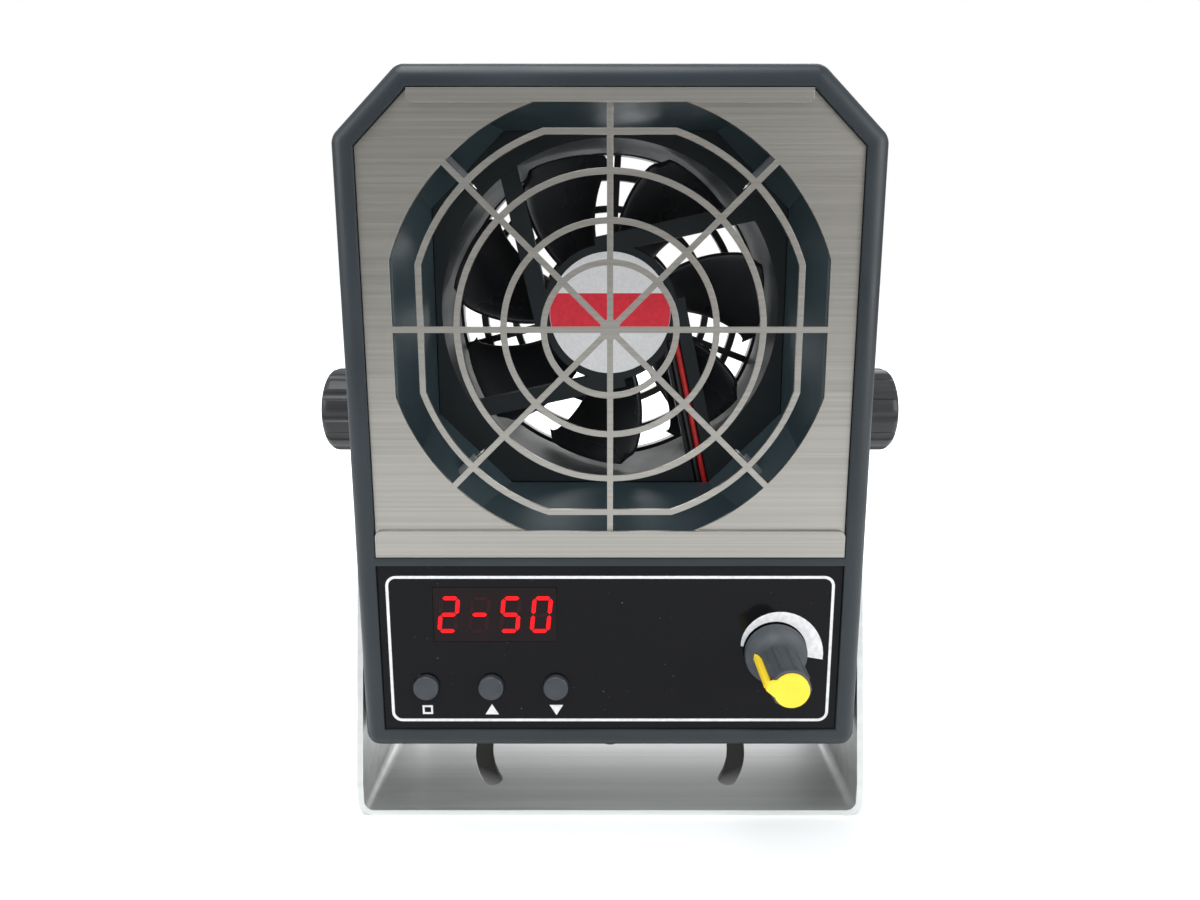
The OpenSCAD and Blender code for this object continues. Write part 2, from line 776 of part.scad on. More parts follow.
module control_board() {
    color("darkgreen") difference() {
        slab(y_board, board_t) translate([board_x[0], board_z[0]])
            square([board_x[1] - board_x[0], board_z[1] - board_z[0]]);
        for (p = board_posts) rod(board_screw[0] + slip, y_board - 1, board_t + 2, p);
    }
}
module board_screws() {
    color("silver") for (p = board_posts) pan_screw(board_screw, y_board_back, board_t + 4, p);
}

// Potentiometer with its on-off switch behind, a bushing in front and three terminals
module pot_body() {
    at = [knob_x, z_knob];
    bushing_y = y_plate - 3;
    color("gray") difference() {
        union() {
            rod(pot_d, y_inside, 9, at);
            rod(pot_d - 2.4, y_inside + 9 - eps, 7 + eps, at);
            rod(bushing_d, bushing_y, y_inside + eps - bushing_y, at);
            for (x = [-1, 0, 1]) translate([knob_x + x * 5 - 0.6, y_inside + 3, z_knob - pot_d / 2 - 4])
                cube([1.2, 0.8, 6]);
        }
        rod(pot_shaft_d + 2 * run, bushing_y - 1, y_inside + 7 - bushing_y, at);
    }
}
module pot_nut() {
    color("silver") translate([knob_x, y_plate - 2, z_knob]) rotate([-90, 0, 0]) difference() {
        cylinder(d = 11.2, h = 2, $fn = 6);
        translate([0, 0, -1]) cylinder(d = bushing_d, h = 4);
    }
}
knob_gap = 0.6;
y_knob = y_plate - knob_gap;
cap_t = 1.2;
cap_sink = 0.6;
pointer_turn = 172;
pointer_w = 1.3;
pointer_r = 6;
skirt_t = 1.8;

module pot_shaft() {
    color("silver") rod(pot_shaft_d, y_knob - knob_h + 4, y_inside + 5.5 - (y_knob - knob_h + 4),
        [knob_x, z_knob]);
}

// Outline of the knob's cap: a round disc drawn out to a point at the pointer
module cap_outline(r) {
    circle(r = r);
    polygon([[1, r - 0.4], [pointer_r - 0.2, pointer_w / 2], [pointer_r - 0.2, -pointer_w / 2],
        [1, 0.4 - r]]);
}

// Fin of the pointer, from the cap down the barrel to the skirt
module pointer_fin() {
    translate([knob_d / 2 - 0.7, -pointer_w / 2, skirt_t + 1.6])
        cube([pointer_r - knob_d / 2 + 0.7, pointer_w, knob_h - cap_sink + 0.1 - skirt_t - 1.6]);
}

// The knob is drawn standing on its skirt, then laid with its face to the front
module on_knob_axis() {
    translate([knob_x, y_knob, z_knob]) rotate([90, 0, 0]) rotate(pointer_turn) children();
}

module speed_knob() {
    r = knob_d / 2;
    skirt = knob_skirt_d / 2;
    // The flare is an arc that is tangent to the barrel and ends at the skirt's rim
    flare_r = 1.6 * (skirt - r);
    flare_a = acos((skirt - 0.4 - r - flare_r) / flare_r);
    z_barrel = skirt_t + flare_r * sin(flare_a);
    color([0.1, 0.11, 0.12]) on_knob_axis() difference() {
        union() {
            rotate_extrude() polygon(concat([[0, 0], [skirt - 0.2, 0], [skirt, 0.2]],
                [[skirt, skirt_t - 0.4], [skirt - 0.1, skirt_t - 0.1]],
                arc(r + flare_r, z_barrel, flare_r, 360 - flare_a, 180, 7),
                [[r, knob_h - 0.3], [r - 0.3, knob_h], [0, knob_h]]));
            for (i = [0:8]) rotate(i * 40 + 20) translate([r - 0.25, 0, z_barrel - 0.7])
                cylinder(r = 0.7, h = knob_h - 0.4 - z_barrel, $fn = 24);
        }
        // Hollow for the nut and the bushing, bore for the shaft, seats for the cap and its fin
        translate([0, 0, -1]) cylinder(d = 12.6, h = 2.8);
        translate([0, 0, -1]) cylinder(d = bushing_d + 0.8, h = 4);
        translate([0, 0, -1]) cylinder(d = pot_shaft_d, h = knob_h - 3);
        translate([0, 0, knob_h - cap_sink]) linear_extrude(height = 2) cap_outline(r - 0.5);
        pointer_fin();
    }
}
module knob_cap() {
    color("gold") on_knob_axis() union() {
        translate([0, 0, knob_h - cap_sink]) linear_extrude(height = cap_t)
            cap_outline(knob_d / 2 - 0.5);
        pointer_fin();
    }
}

// ---- Air duct and emitters ----

// Tapered tunnel from the mouth to the fan; "grow" adds the wall, "past" runs over the ends
module tunnel(grow, past) {
    hull() {
        slab(y_panel_back - past, past + eps)
            polygon(octagon(mouth_half + grow, mouth_leg + grow * (2 - sqrt(2)), z_mouth));
        slab(y_fan - eps, past + eps)
            polygon(octagon(fan_w / 2 + grow, throat_leg + grow * (2 - sqrt(2)), z_fan));
    }
}

// Lies a shape along each of the four diagonals, at the emitters' depth
module on_diagonals() {
    for (a = [45:90:315]) translate([0, y_emitter, z_mouth]) rotate([0, -a, 0]) children();
}

// Distance from the axis to the duct's corner wall at the emitters
corner_front = (2 * mouth_half - mouth_leg) / sqrt(2);
corner_back = (fan_w - throat_leg) / sqrt(2);
emitter_part = (y_emitter - y_panel_back) / (y_fan - y_panel_back);
corner_r_at = corner_front + (corner_back - corner_front) * emitter_part;
holder_tip_r = needle_tip_r + needle_out;
holder_root_r = corner_r_at + 5;

module air_duct() {
    seat_d = holder_d + 3;
    color([0.17, 0.22, 0.26]) difference() {
        union() {
            tunnel(duct_t, 0);
            // Front ears and the square flange that the fan is screwed to
            for (p = duct_ears) {
                rod(ear_d, y_ear, ear_t, p);
                slab(y_ear, ear_t) translate([p[0] > 0 ? p[0] - 8 : p[0], p[1] - ear_d / 2])
                    square([8, ear_d]);
            }
            slab(y_fan - 2, 2) translate([-fan_w / 2, z_fan - fan_w / 2]) rounded(fan_w, fan_w, 4);
            for (p = fan_holes) rod(fan_screw[0] + 4, y_fan - 7, 7, p);
            on_diagonals() translate([corner_r_at - 1, 0, 0]) rotate([0, 90, 0])
                cylinder(d = seat_d, h = 6.5);
        }
        tunnel(0, 1);
        for (p = fan_holes) rod(fan_screw[0], y_fan - 5.5, 6, p);
        for (p = duct_ears) rod(duct_screw[0] + slip, y_ear - 1, ear_t + 2, p);
        on_diagonals() translate([corner_r_at - 6, 0, 0]) rotate([0, 90, 0])
            cylinder(d = holder_d, h = 11);
    }
}
module duct_screws() {
    color("silver") for (p = duct_ears) pan_screw(duct_screw, y_ear + ear_t, ear_t + 4.5, p);
}
module needle_holders() {
    color([0.3, 0.32, 0.34]) on_diagonals() difference() {
        translate([holder_tip_r, 0, 0]) rotate([0, 90, 0])
            cylinder(d = holder_d, h = holder_root_r - holder_tip_r);
        translate([holder_tip_r - 1, 0, 0]) rotate([0, 90, 0]) cylinder(d = needle_d, h = 7);
    }
}
module emitter_needles() {
    color("silver") on_diagonals() union() {
        translate([needle_tip_r + 1.2, 0, 0]) rotate([0, 90, 0])
            cylinder(d = needle_d, h = holder_tip_r + 6 - needle_tip_r - 1.2);
        translate([needle_tip_r, 0, 0]) rotate([0, 90, 0])
            cylinder(d1 = 0.1, d2 = needle_d, h = 1.2);
    }
}

// ---- Fan ----

// Front view of one strut, along its own direction
module strut(extra) {
    translate([0, strut_off - strut_w / 2 - extra])
        square([fan_bore / 2, strut_w + extra]);
}

module fan_frame() {
    color([0.1, 0.1, 0.11]) difference() {
        union() {
            for (y = [y_fan, y_fan_back - flange_t])
                slab(y, flange_t) translate([-fan_w / 2, z_fan - fan_w / 2])
                    rounded(fan_w, fan_w, 3.5);
            rod(fan_bore + 2 * barrel_t, y_fan, fan_t, [0, z_fan]);
        }
        rod(fan_bore, y_fan - 1, fan_t + 2, [0, z_fan]);
        for (p = fan_holes) rod(fan_hole_d, y_fan - 1, fan_t + 2, p);
        lead_channel();
    }
}

// Cup for the motor, held by four tangential struts, with the bearing tube behind it
module fan_spider() {
    color([0.1, 0.1, 0.11]) difference() {
        union() {
            slab(y_fan, strut_t) translate([0, z_fan]) intersection() {
                for (i = [0:3]) rotate(strut_turn + i * 90) strut(i == 2 ? 3.2 : 0);
                circle(d = fan_bore);
            }
            rod(cup_d, y_fan, cup_t, [0, z_fan]);
            rod(tube_d, y_fan, y_tube_end - y_fan, [0, z_fan]);
        }
        // Sink for the sticker, bores for the bearings, channel for the leads
        rod(label_d + 0.4, y_fan - 1, 1.3, [0, z_fan]);
        rod(bearing_d, y_cup, fan_t, [0, z_fan]);
        lead_channel();
    }
}

// Channel in the wide strut and the flange, down to the fan's lower edge
module lead_channel() {
    slab(y_fan - 1, 1 + channel_t) translate([0, z_fan]) rotate(lead_turn)
        translate([8, lead_off - channel_w / 2]) square([fan_w, channel_w]);
}

module fan_stator() {
    slots = 4;
    color("peru") difference() {
        rod(stator_d, y_cup + 3.5, 11, [0, z_fan]);
        rod(tube_d, y_cup, 20, [0, z_fan]);
        for (i = [0:slots - 1]) translate([0, y_cup, z_fan]) rotate([0, 45 + i * 90, 0])
            translate([stator_d / 2 - 4, 0, -1.5]) cube([5, 20, 3]);
    }
}
module fan_bearings() {
    color("silver") for (y = [y_cup, y_tube_end - bearing_w]) difference() {
        rod(bearing_d, y, bearing_w, [0, z_fan]);
        rod(fan_shaft_d + 2 * run, y - 1, bearing_w + 2, [0, z_fan]);
    }
}
module fan_shaft() {
    color("silver") rod(fan_shaft_d, y_cup + 0.4, y_rotor_back - 0.5 - y_cup - 0.4, [0, z_fan]);
}
module rotor_magnet() {
    color([0.25, 0.22, 0.2]) difference() {
        rod(rotor_bore, y_cup + 3, 12, [0, z_fan]);
        rod(rotor_bore - 2 * magnet_t, y_cup + 2, 14, [0, z_fan]);
    }
}

// Front view of a blade at its rear edge: a thin band swept forward towards the tip
function blade_points(n = 6) =
    let (mid = [for (i = [0:n]) let (f = i / n) [blade_r0 + (blade_r1 - blade_r0) * f,
        -blade_sweep * pow(f, 1.6)]])
    concat(
        [for (i = [0:n]) mid[i][0] * [cos(mid[i][1]), sin(mid[i][1])]
            + blade_t / 2 * [-sin(mid[i][1]), cos(mid[i][1])]],
        [for (i = [n:-1:0]) mid[i][0] * [cos(mid[i][1]), sin(mid[i][1])]
            - blade_t / 2 * [-sin(mid[i][1]), cos(mid[i][1])]]);

module fan_rotor() {
    color([0.08, 0.08, 0.09]) difference() {
        union() {
            rod(rotor_hub_d, y_rotor, y_rotor_back - y_rotor, [0, z_fan]);
            for (i = [0:blades - 1]) translate([0, y_rotor + blade_h + 2, z_fan])
                rotate([90, 0, 0]) rotate(i * 360 / blades)
                linear_extrude(height = blade_h, twist = -blade_twist, slices = 8, $fn = 12)
                polygon(blade_points());
        }
        difference() {
            rod(rotor_bore, y_rotor - 1, y_rotor_back - rotor_wall - y_rotor + 1, [0, z_fan]);
            rod(7, y_tube_end + 0.5, fan_t, [0, z_fan]);
        }
        rod(fan_shaft_d, y_rotor, y_rotor_back - 0.5 - y_rotor, [0, z_fan]);
    }
}
module fan_label() {
    color("white") rod(label_d, y_fan + 0.1, 0.2, [0, z_fan]);
}
module fan_screws() {
    color("silver") for (p = fan_holes) pan_screw(fan_screw, y_fan_back, fan_t + 5, p);
}

// ---- Fan leads ----

// A point on the leads' line: distance along the strut, and to its side
function on_strut(along, side, y) =
    [along * lead_dir[0] + (lead_off + side) * lead_side[0], y,
        z_fan + along * lead_dir[1] + (lead_off + side) * lead_side[1]];

// Route of a lead: along the channel, out under the flange and down to the plug
plug_at = [18.5, y_board_back, board_z[1] - 4];
plug_size = [6, 6, 5];
function lead_route(side) =
    let (y = y_fan + channel_t - lead_d / 2, s = side * (lead_d + 0.2) / 2, w = 1.3 * s)
    [on_strut(11, s, y), on_strut(20, s, y), on_strut(30, s, y), on_strut(40, s, y),
        on_strut(47, s, y), on_strut(51, s, y), [25 + w, y - 2, z_fan - 52],
        [24 + w, y - 6, z_fan - 57], [21.5 + w, y - 10, z_fan - 60],
        [19 + w, plug_at[1] + 6, plug_at[2] + 6.5],
        [plug_at[0] + w, plug_at[1] + 3.5, plug_at[2] + 4.5],
        [plug_at[0] + w, plug_at[1] + 3, plug_at[2] + plug_size[2] / 2]];

// Round tube through a list of points
function unit(v) = v / norm(v);
function ring_at(p, d, r, n) =
    let (u = unit(cross(d, [0.31, 0.93, 0.17])), v = cross(u, d))
    [for (i = [0:n - 1]) p + r * (cos(i * 360 / n) * u + sin(i * 360 / n) * v)];
module lead(route, d, n = 8) {
    last = len(route) - 1;
    dirs = [for (i = [0:last]) unit(route[min(i + 1, last)] - route[max(i - 1, 0)])];
    points = [for (i = [0:last]) each ring_at(route[i], dirs[i], d / 2, n)];
    faces = concat([[for (i = [0:n - 1]) i]], [[for (i = [n - 1:-1:0]) last * n + i]],
        [for (k = [0:last - 1], i = [0:n - 1]) each
            [[k * n + i, (k + 1) * n + i, (k + 1) * n + (i + 1) % n],
            [k * n + i, (k + 1) * n + (i + 1) % n, k * n + (i + 1) % n]]]);
    polyhedron(points = points, faces = faces);
}
module lead_red() {
    color("crimson") lead(lead_route(1), lead_d);
}
module lead_black() {
    color([0.06, 0.06, 0.06]) lead(lead_route(-1), lead_d);
}
module lead_plug() {
    color("ivory") translate(plug_at - [plug_size[0] / 2, 0, plug_size[2] / 2]) cube(plug_size);
}

// ---- Rear ----

module rear_guard() {
    inner = guard_ring_rs[0];
    color([0.07, 0.07, 0.08]) slab(y_guard, guard_t) translate([0, z_fan]) difference() {
        union() {
            difference() {
                translate([-guard_w / 2, -guard_w / 2]) rounded(guard_w, guard_w, 4);
                circle(d = guard_open_d);
            }
            circle(r = inner - 8);
            for (r = guard_ring_rs) difference() {
                circle(r = r + guard_bar_w / 2);
                circle(r = r - guard_bar_w / 2);
            }
            for (i = [0:guard_bars - 1]) rotate(15 + i * 360 / guard_bars)
                translate([inner - 10, -guard_bar_w / 2])
                square([guard_open_d / 2 + 1 - inner + 10, guard_bar_w]);
        }
        for (x = [-1, 1], z = [-1, 1]) translate([x, z] * guard_pitch / 2)
            circle(d = guard_screw[0] + slip);
    }
}
module guard_screws() {
    color("silver") for (p = guard_screws_at) pan_screw(guard_screw, y_guard + guard_t, 6, p);
}

// Panel socket for the power plug: flange outside, threaded body, blind bore
module dc_socket() {
    at = [socket_x, z_socket];
    color([0.07, 0.07, 0.08]) difference() {
        union() {
            rod(11.5, y_rear, 1.5, at);
            rod(socket_d, y_rear + eps - socket_len, socket_len, at);
        }
        rod(socket_bore, y_rear + 1.5 - socket_deep, socket_deep + 1, at);
        rod(2.1, y_rear - socket_deep, socket_deep, at);
    }
}
module socket_pin() {
    color("silver") rod(2.1, y_rear - socket_deep, socket_deep, [socket_x, z_socket]);
}
module socket_nut() {
    color("silver") translate([socket_x, y_rear - wall - 2, z_socket]) rotate([-90, 0, 0])
        difference() {
            cylinder(d = 12, h = 2, $fn = 6);
            translate([0, 0, -1]) cylinder(d = socket_d, h = 4);
        }
}

// ---- High-voltage module ----

function hv_lug_xs() = [for (s = [-1, 1]) hv_x + s * (hv_size[0] / 2 + hv_lug / 2)];

module hv_module() {
    color([0.12, 0.16, 0.3]) difference() {
        union() {
            translate([hv_x - hv_size[0] / 2, hv_y - hv_size[1] / 2, z_floor]) cube(hv_size);
            for (x = hv_lug_xs()) translate([x - hv_lug / 2 - 0.5, hv_y - 5, z_floor + hv_post_h])
                cube([hv_lug + 1, 10, hv_lug_t]);
        }
        for (x = hv_lug_xs()) translate([x, hv_y, z_floor])
            cylinder(d = hv_screw[0] + slip, h = 20);
    }
}
module hv_screws() {
    color("silver") for (x = hv_lug_xs())
        translate([x, hv_y, z_floor + hv_post_h + hv_lug_t]) union() {
            translate([0, 0, -6]) cylinder(d = hv_screw[0], h = 6);
            cylinder(d = hv_screw[1], h = hv_screw[2]);
        }
}

bracket();
washer_left();
washer_right();
clamp_knob_left();
clamp_knob_right();
stud_left();
stud_right();
tilt_inserts();
front_case();
rear_cover();
cover_screws();
grille_panel();
control_plate();
display_module();
lit_segments();
dark_segments();
mode_button();
up_button();
down_button();
tact_switches();
control_board();
board_screws();
pot_body();
pot_nut();
pot_shaft();
speed_knob();
knob_cap();
air_duct();
duct_screws();
needle_holders();
emitter_needles();
fan_frame();
fan_spider();
fan_stator();
fan_bearings();
fan_shaft();
fan_rotor();
rotor_magnet();
fan_label();
fan_screws();
lead_red();
lead_black();
lead_plug();
rear_guard();
guard_screws();
dc_socket();
socket_pin();
socket_nut();
hv_module();
hv_screws();
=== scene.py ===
import math

import bpy
import bmesh
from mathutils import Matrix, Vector


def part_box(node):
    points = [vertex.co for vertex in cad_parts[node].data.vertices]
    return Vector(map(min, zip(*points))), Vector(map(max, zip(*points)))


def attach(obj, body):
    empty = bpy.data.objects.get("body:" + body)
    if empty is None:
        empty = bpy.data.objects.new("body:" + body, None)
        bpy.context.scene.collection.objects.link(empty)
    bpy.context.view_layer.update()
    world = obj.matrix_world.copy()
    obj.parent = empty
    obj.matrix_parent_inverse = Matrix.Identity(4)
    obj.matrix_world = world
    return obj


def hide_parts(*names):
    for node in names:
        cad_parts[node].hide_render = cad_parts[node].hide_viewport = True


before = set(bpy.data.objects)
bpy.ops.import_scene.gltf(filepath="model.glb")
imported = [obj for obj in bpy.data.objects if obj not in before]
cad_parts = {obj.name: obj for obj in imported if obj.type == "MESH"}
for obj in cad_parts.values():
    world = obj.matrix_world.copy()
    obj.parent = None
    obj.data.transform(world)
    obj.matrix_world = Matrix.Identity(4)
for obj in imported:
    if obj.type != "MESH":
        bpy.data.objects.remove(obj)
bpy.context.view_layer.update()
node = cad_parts
MM = 0.001

# ---------------------------------------------------------------- camera
# A phone held close in front of the grille, a little above its centre and
# looking ten degrees down, so the housing narrows towards the bench.
front_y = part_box("front_case")[0].y
bpy.ops.object.camera_add(
    location=(0.0, front_y - 174 * MM, 138.5 * MM), rotation=(math.radians(80), 0, 0)
)
camera = bpy.context.active_object
camera.data.lens = 22.65
camera.data.sensor_width = 36
camera.data.shift_x = -0.0084
camera.data.shift_y = -0.0367
camera.data.clip_start = 0.01
camera.data.clip_end = 20
camera.data.dof.use_dof = False
bpy.context.scene.camera = camera
bpy.context.scene.view_settings.view_transform = "Standard"

# ---------------------------------------------------------------- A plain white bench top, with a painted shadow under the bracket's foot, and soft daylight from above, the left and the right.
# A plain white bench top and soft daylight from above, the left and the right.
# The world is white behind the object and a soft room in its reflections.
bpy.ops.mesh.primitive_plane_add(size=16, location=(0, 0, 0))
bench = bpy.context.active_object
bench.name = "bench_top"
bench_mat = bpy.data.materials.new("white bench top")
bench_mat.use_nodes = True
n, l = bench_mat.node_tree.nodes, bench_mat.node_tree.links
paint = n["Principled BSDF"]
paint.inputs["Roughness"].default_value = 0.9
paint.inputs["Specular IOR Level"].default_value = 0.1
coord = n.new("ShaderNodeTexCoord")
mottle = n.new("ShaderNodeTexNoise")
mottle.inputs["Scale"].default_value = 9
tone = n.new("ShaderNodeValToRGB")
tone.color_ramp.elements[0].color = (0.80, 0.80, 0.79, 1)
tone.color_ramp.elements[1].color = (0.84, 0.84, 0.84, 1)
l.new(coord.outputs["Object"], mottle.inputs["Vector"])
l.new(mottle.outputs["Fac"], tone.inputs["Fac"])
# Painted shadow: in an ellipse under the bracket's foot the bench's colour goes to near-black, so the slots and the
# hole in the foot show dark.
foot_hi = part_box("bracket")[1]
squash = n.new("ShaderNodeVectorMath")
squash.operation = "MULTIPLY"
squash.inputs[1].default_value = (1.06 / foot_hi.x, 1.12 / foot_hi.y, 0)
round_about = n.new("ShaderNodeVectorMath")
round_about.operation = "LENGTH"
painted_shadow_ramp = n.new("ShaderNodeMapRange")
painted_shadow_ramp.inputs["From Min"].default_value = 0.72
painted_shadow_ramp.inputs["From Max"].default_value = 1.0
shade = n.new("ShaderNodeMix")
shade.data_type = "RGBA"
shade.inputs["A"].default_value = (0.03, 0.028, 0.024, 1)
l.new(coord.outputs["Object"], squash.inputs[0])
l.new(squash.outputs["Vector"], round_about.inputs[0])
l.new(round_about.outputs["Value"], painted_shadow_ramp.inputs["Value"])
l.new(painted_shadow_ramp.outputs["Result"], shade.inputs["Factor"])
l.new(tone.outputs["Color"], shade.inputs["B"])
l.new(shade.outputs["Result"], paint.inputs["Base Color"])
glow = n.new("ShaderNodeEmission")
glow.inputs["Color"].default_value = (1, 1, 1, 1)
reach = n.new("ShaderNodeVectorMath")
reach.operation = "LENGTH"
fade = n.new("ShaderNodeMapRange")
for key, number in (("From Min", 0.10), ("From Max", 0.34), ("To Min", 0.02), ("To Max", 0.75)):
    fade.inputs[key].default_value = number
l.new(coord.outputs["Object"], reach.inputs[0])
l.new(reach.outputs["Value"], fade.inputs["Value"])
l.new(fade.outputs["Result"], glow.inputs["Strength"])
path = n.new("ShaderNodeLightPath")
lifted = n.new("ShaderNodeAddShader")
seen = n.new("ShaderNodeMixShader")
l.new(paint.outputs["BSDF"], lifted.inputs[0])
l.new(glow.outputs["Emission"], lifted.inputs[1])
l.new(path.outputs["Is Camera Ray"], seen.inputs["Fac"])
l.new(paint.outputs["BSDF"], seen.inputs[1])
l.new(lifted.outputs["Shader"], seen.inputs[2])
l.new(seen.outputs["Shader"], n["Material Output"].inputs["Surface"])
bench.data.materials.append(bench_mat)

world = bpy.data.worlds.new("soft room")
bpy.context.scene.world = world
world.use_nodes = True
n, l = world.node_tree.nodes, world.node_tree.links
n.clear()
coord = n.new("ShaderNodeTexCoord")
split = n.new("ShaderNodeSeparateXYZ")
height = n.new("ShaderNodeMapRange")
height.inputs["From Min"].default_value = -0.35
height.inputs["From Max"].default_value = 0.55
room = n.new("ShaderNodeValToRGB")
room.color_ramp.elements[0].color = (0.30, 0.24, 0.19, 1)
room.color_ramp.elements[0].position = 0.18
room.color_ramp.elements[1].color = (0.62, 0.66, 0.70, 1)
room.color_ramp.elements[1].position = 0.9
middle = room.color_ramp.elements.new(0.45)
middle.color = (0.40, 0.37, 0.34, 1)
inside = n.new("ShaderNodeBackground")
inside.inputs["Strength"].default_value = 0.75
white = n.new("ShaderNodeBackground")
white.inputs["Color"].default_value = (1, 1, 1, 1)
white.inputs["Strength"].default_value = 1
path = n.new("ShaderNodeLightPath")
seen = n.new("ShaderNodeMixShader")
out = n.new("ShaderNodeOutputWorld")
l.new(coord.outputs["Generated"], split.inputs[0])
l.new(split.outputs["Z"], height.inputs["Value"])
l.new(height.outputs["Result"], room.inputs["Fac"])
l.new(room.outputs["Color"], inside.inputs["Color"])
l.new(path.outputs["Is Camera Ray"], seen.inputs["Fac"])
l.new(inside.outputs["Background"], seen.inputs[1])
l.new(white.outputs["Background"], seen.inputs[2])
l.new(seen.outputs["Shader"], out.inputs["Surface"])


def soft_lamp(name, place, aim, size, watts, tint=(1, 1, 1)):
    bpy.ops.object.light_add(type="AREA", location=place)
    lamp = bpy.context.active_object
    lamp.name = name
    lamp.data.size = size
    lamp.data.energy = watts
    lamp.data.color = tint
    lamp.rotation_euler = (Vector(aim) - Vector(place)).to_track_quat("-Z", "Y").to_euler()
    return lamp


soft_lamp("window overhead", (-0.15, -0.25, 0.95), (0, 0, 0.1), 0.7, 7.5, (0.97, 0.99, 1.0))
soft_lamp("window right", (0.75, -0.45, 0.35), (0, 0, 0.1), 0.6, 5.0)
soft_lamp("window left", (-0.8, -0.35, 0.45), (0, 0, 0.12), 0.5, 3.0, (0.96, 0.98, 1.0))
soft_lamp("light behind", (0.1, 0.8, 0.45), (0, 0, 0.1), 0.8, 6.0)

# ---------------------------------------------------------------- housing
# Two injection-moulded shells of slate-blue ABS with a fine spark-eroded texture:
# a deep front with recesses for the steel panel and the control plate, and a
# shallow rear cover. They meet in a fine parting groove and are screwed together.


def only(obj):
    bpy.ops.object.select_all(action="DESELECT")
    obj.select_set(True)
    bpy.context.view_layer.objects.active = obj
    return obj


def fresh(name):
    """The primitive just added, named, with its place moved into its mesh."""
    obj = bpy.context.active_object
    obj.name = name
    obj.data.name = name
    only(obj)
    bpy.ops.object.transform_apply(location=True, rotation=True, scale=True)
    return obj


def select(obj, test, mode="FACE"):
    """In edit mode, selects the faces, edges or points for which the test is true."""
    bpy.ops.mesh.select_mode(type=mode)
    bpy.ops.mesh.select_all(action="DESELECT")
    mesh = bmesh.from_edit_mesh(obj.data)
    for part in {"FACE": mesh.faces, "EDGE": mesh.edges, "VERT": mesh.verts}[mode]:
        part.select_set(bool(test(part)))
    mesh.select_flush_mode()
    bmesh.update_edit_mesh(obj.data)


def lies_on(axis, level, slack=0.02 * MM):
    return lambda part: all(abs(v.co[axis] - level) < slack for v in part.verts)


def block(name, lo, hi, top_cut=0.0, low_cut=0.0):
    """A box between two corners, with its upright front outline cut at 45 degrees."""
    lo, hi = Vector(lo), Vector(hi)
    bpy.ops.mesh.primitive_cube_add(size=1, location=(lo + hi) / 2, scale=hi - lo)
    obj = fresh(name)
    bpy.ops.object.mode_set(mode="EDIT")
    for cut, level in ((top_cut, hi.z), (low_cut, lo.z)):
        if cut:
            along_y = lambda e: lies_on(2, level)(e) and abs(e.verts[0].co.x - e.verts[1].co.x) < 1e-6
            select(obj, along_y, "EDGE")
            bpy.ops.mesh.bevel(offset=cut, segments=1, affect="EDGES")
    bpy.ops.object.mode_set(mode="OBJECT")
    return obj


def rounded_block(name, lo, hi, top_cut, corner, edge, rounded_y):
    """A block with round upright corners and one rounded face, front or rear."""
    obj = block(name, lo, hi, top_cut)
    bpy.ops.object.mode_set(mode="EDIT")

    def along_y(e):
        a, b = e.verts[0].co, e.verts[1].co
        return abs(a.x - b.x) < 1e-6 and abs(a.z - b.z) < 1e-6

    select(obj, lambda e: along_y(e) and e.verts[0].co.z > lo[2] + 0.001, "EDGE")
    bpy.ops.mesh.bevel(offset=corner * math.tan(math.radians(22.5)), segments=5, affect="EDGES")
    select(obj, lambda e: along_y(e) and e.verts[0].co.z < lo[2] + 0.0005, "EDGE")
    bpy.ops.mesh.bevel(offset=corner, segments=8, affect="EDGES")
    select(obj, lies_on(1, rounded_y), "EDGE")
    bpy.ops.mesh.bevel(offset=edge, segments=8, affect="EDGES")
    bpy.ops.object.mode_set(mode="OBJECT")
    return obj


def cut_away(obj, *tools):
    """Takes the tools' shapes out of a piece, then deletes them."""
    for tool in tools:
        only(obj)
        cut = obj.modifiers.new("cut", "BOOLEAN")
        cut.operation = "DIFFERENCE"
        cut.solver = "EXACT"
        cut.object = tool
        bpy.ops.object.modifier_apply(modifier=cut.name)
        bpy.data.objects.remove(tool)


def break_edges(obj, width, segments=2, angle=35):
    """Breaks the sharp edges with a small round, and shades the rest smooth."""
    only(obj)
    edge = obj.modifiers.new("edge", "BEVEL")
    edge.width = width
    edge.segments = segments
    edge.limit_method = "ANGLE"
    edge.angle_limit = math.radians(angle)
    edge.miter_outer = "MITER_ARC"
    bpy.ops.object.modifier_apply(modifier=edge.name)
    bpy.ops.object.shade_smooth_by_angle(angle=math.radians(32))


def rod_y(name, r, x, z, y0, y1, sides=64):
    bpy.ops.mesh.primitive_cylinder_add(
        vertices=sides, radius=r, depth=y1 - y0, location=(x, (y0 + y1) / 2, z), rotation=(math.pi / 2, 0, 0)
    )
    return fresh(name)


def new_finish(name, colour, rough, metal=0.0):
    """A material with its shader, and short calls for the nodes that pattern it."""
    mat = bpy.data.materials.new(name)
    mat.use_nodes = True
    shader = mat.node_tree.nodes["Principled BSDF"]
    shader.inputs["Base Color"].default_value = (*colour, 1)
    shader.inputs["Roughness"].default_value = rough
    shader.inputs["Metallic"].default_value = metal
    mat.diffuse_color = (*colour, 1)
    return mat


def noise(mat, scale, stretch=(1, 1, 1), detail=3.0, soft=0.5):
    n, l = mat.node_tree.nodes, mat.node_tree.links
    place = n.new("ShaderNodeTexCoord")
    turn = n.new("ShaderNodeMapping")
    turn.inputs["Scale"].default_value = stretch
    cloud = n.new("ShaderNodeTexNoise")
    cloud.inputs["Scale"].default_value = scale
    cloud.inputs["Detail"].default_value = detail
    cloud.inputs["Roughness"].default_value = soft
    l.new(place.outputs["Object"], turn.inputs["Vector"])
    l.new(turn.outputs["Vector"], cloud.inputs["Vector"])
    return cloud.outputs["Fac"]


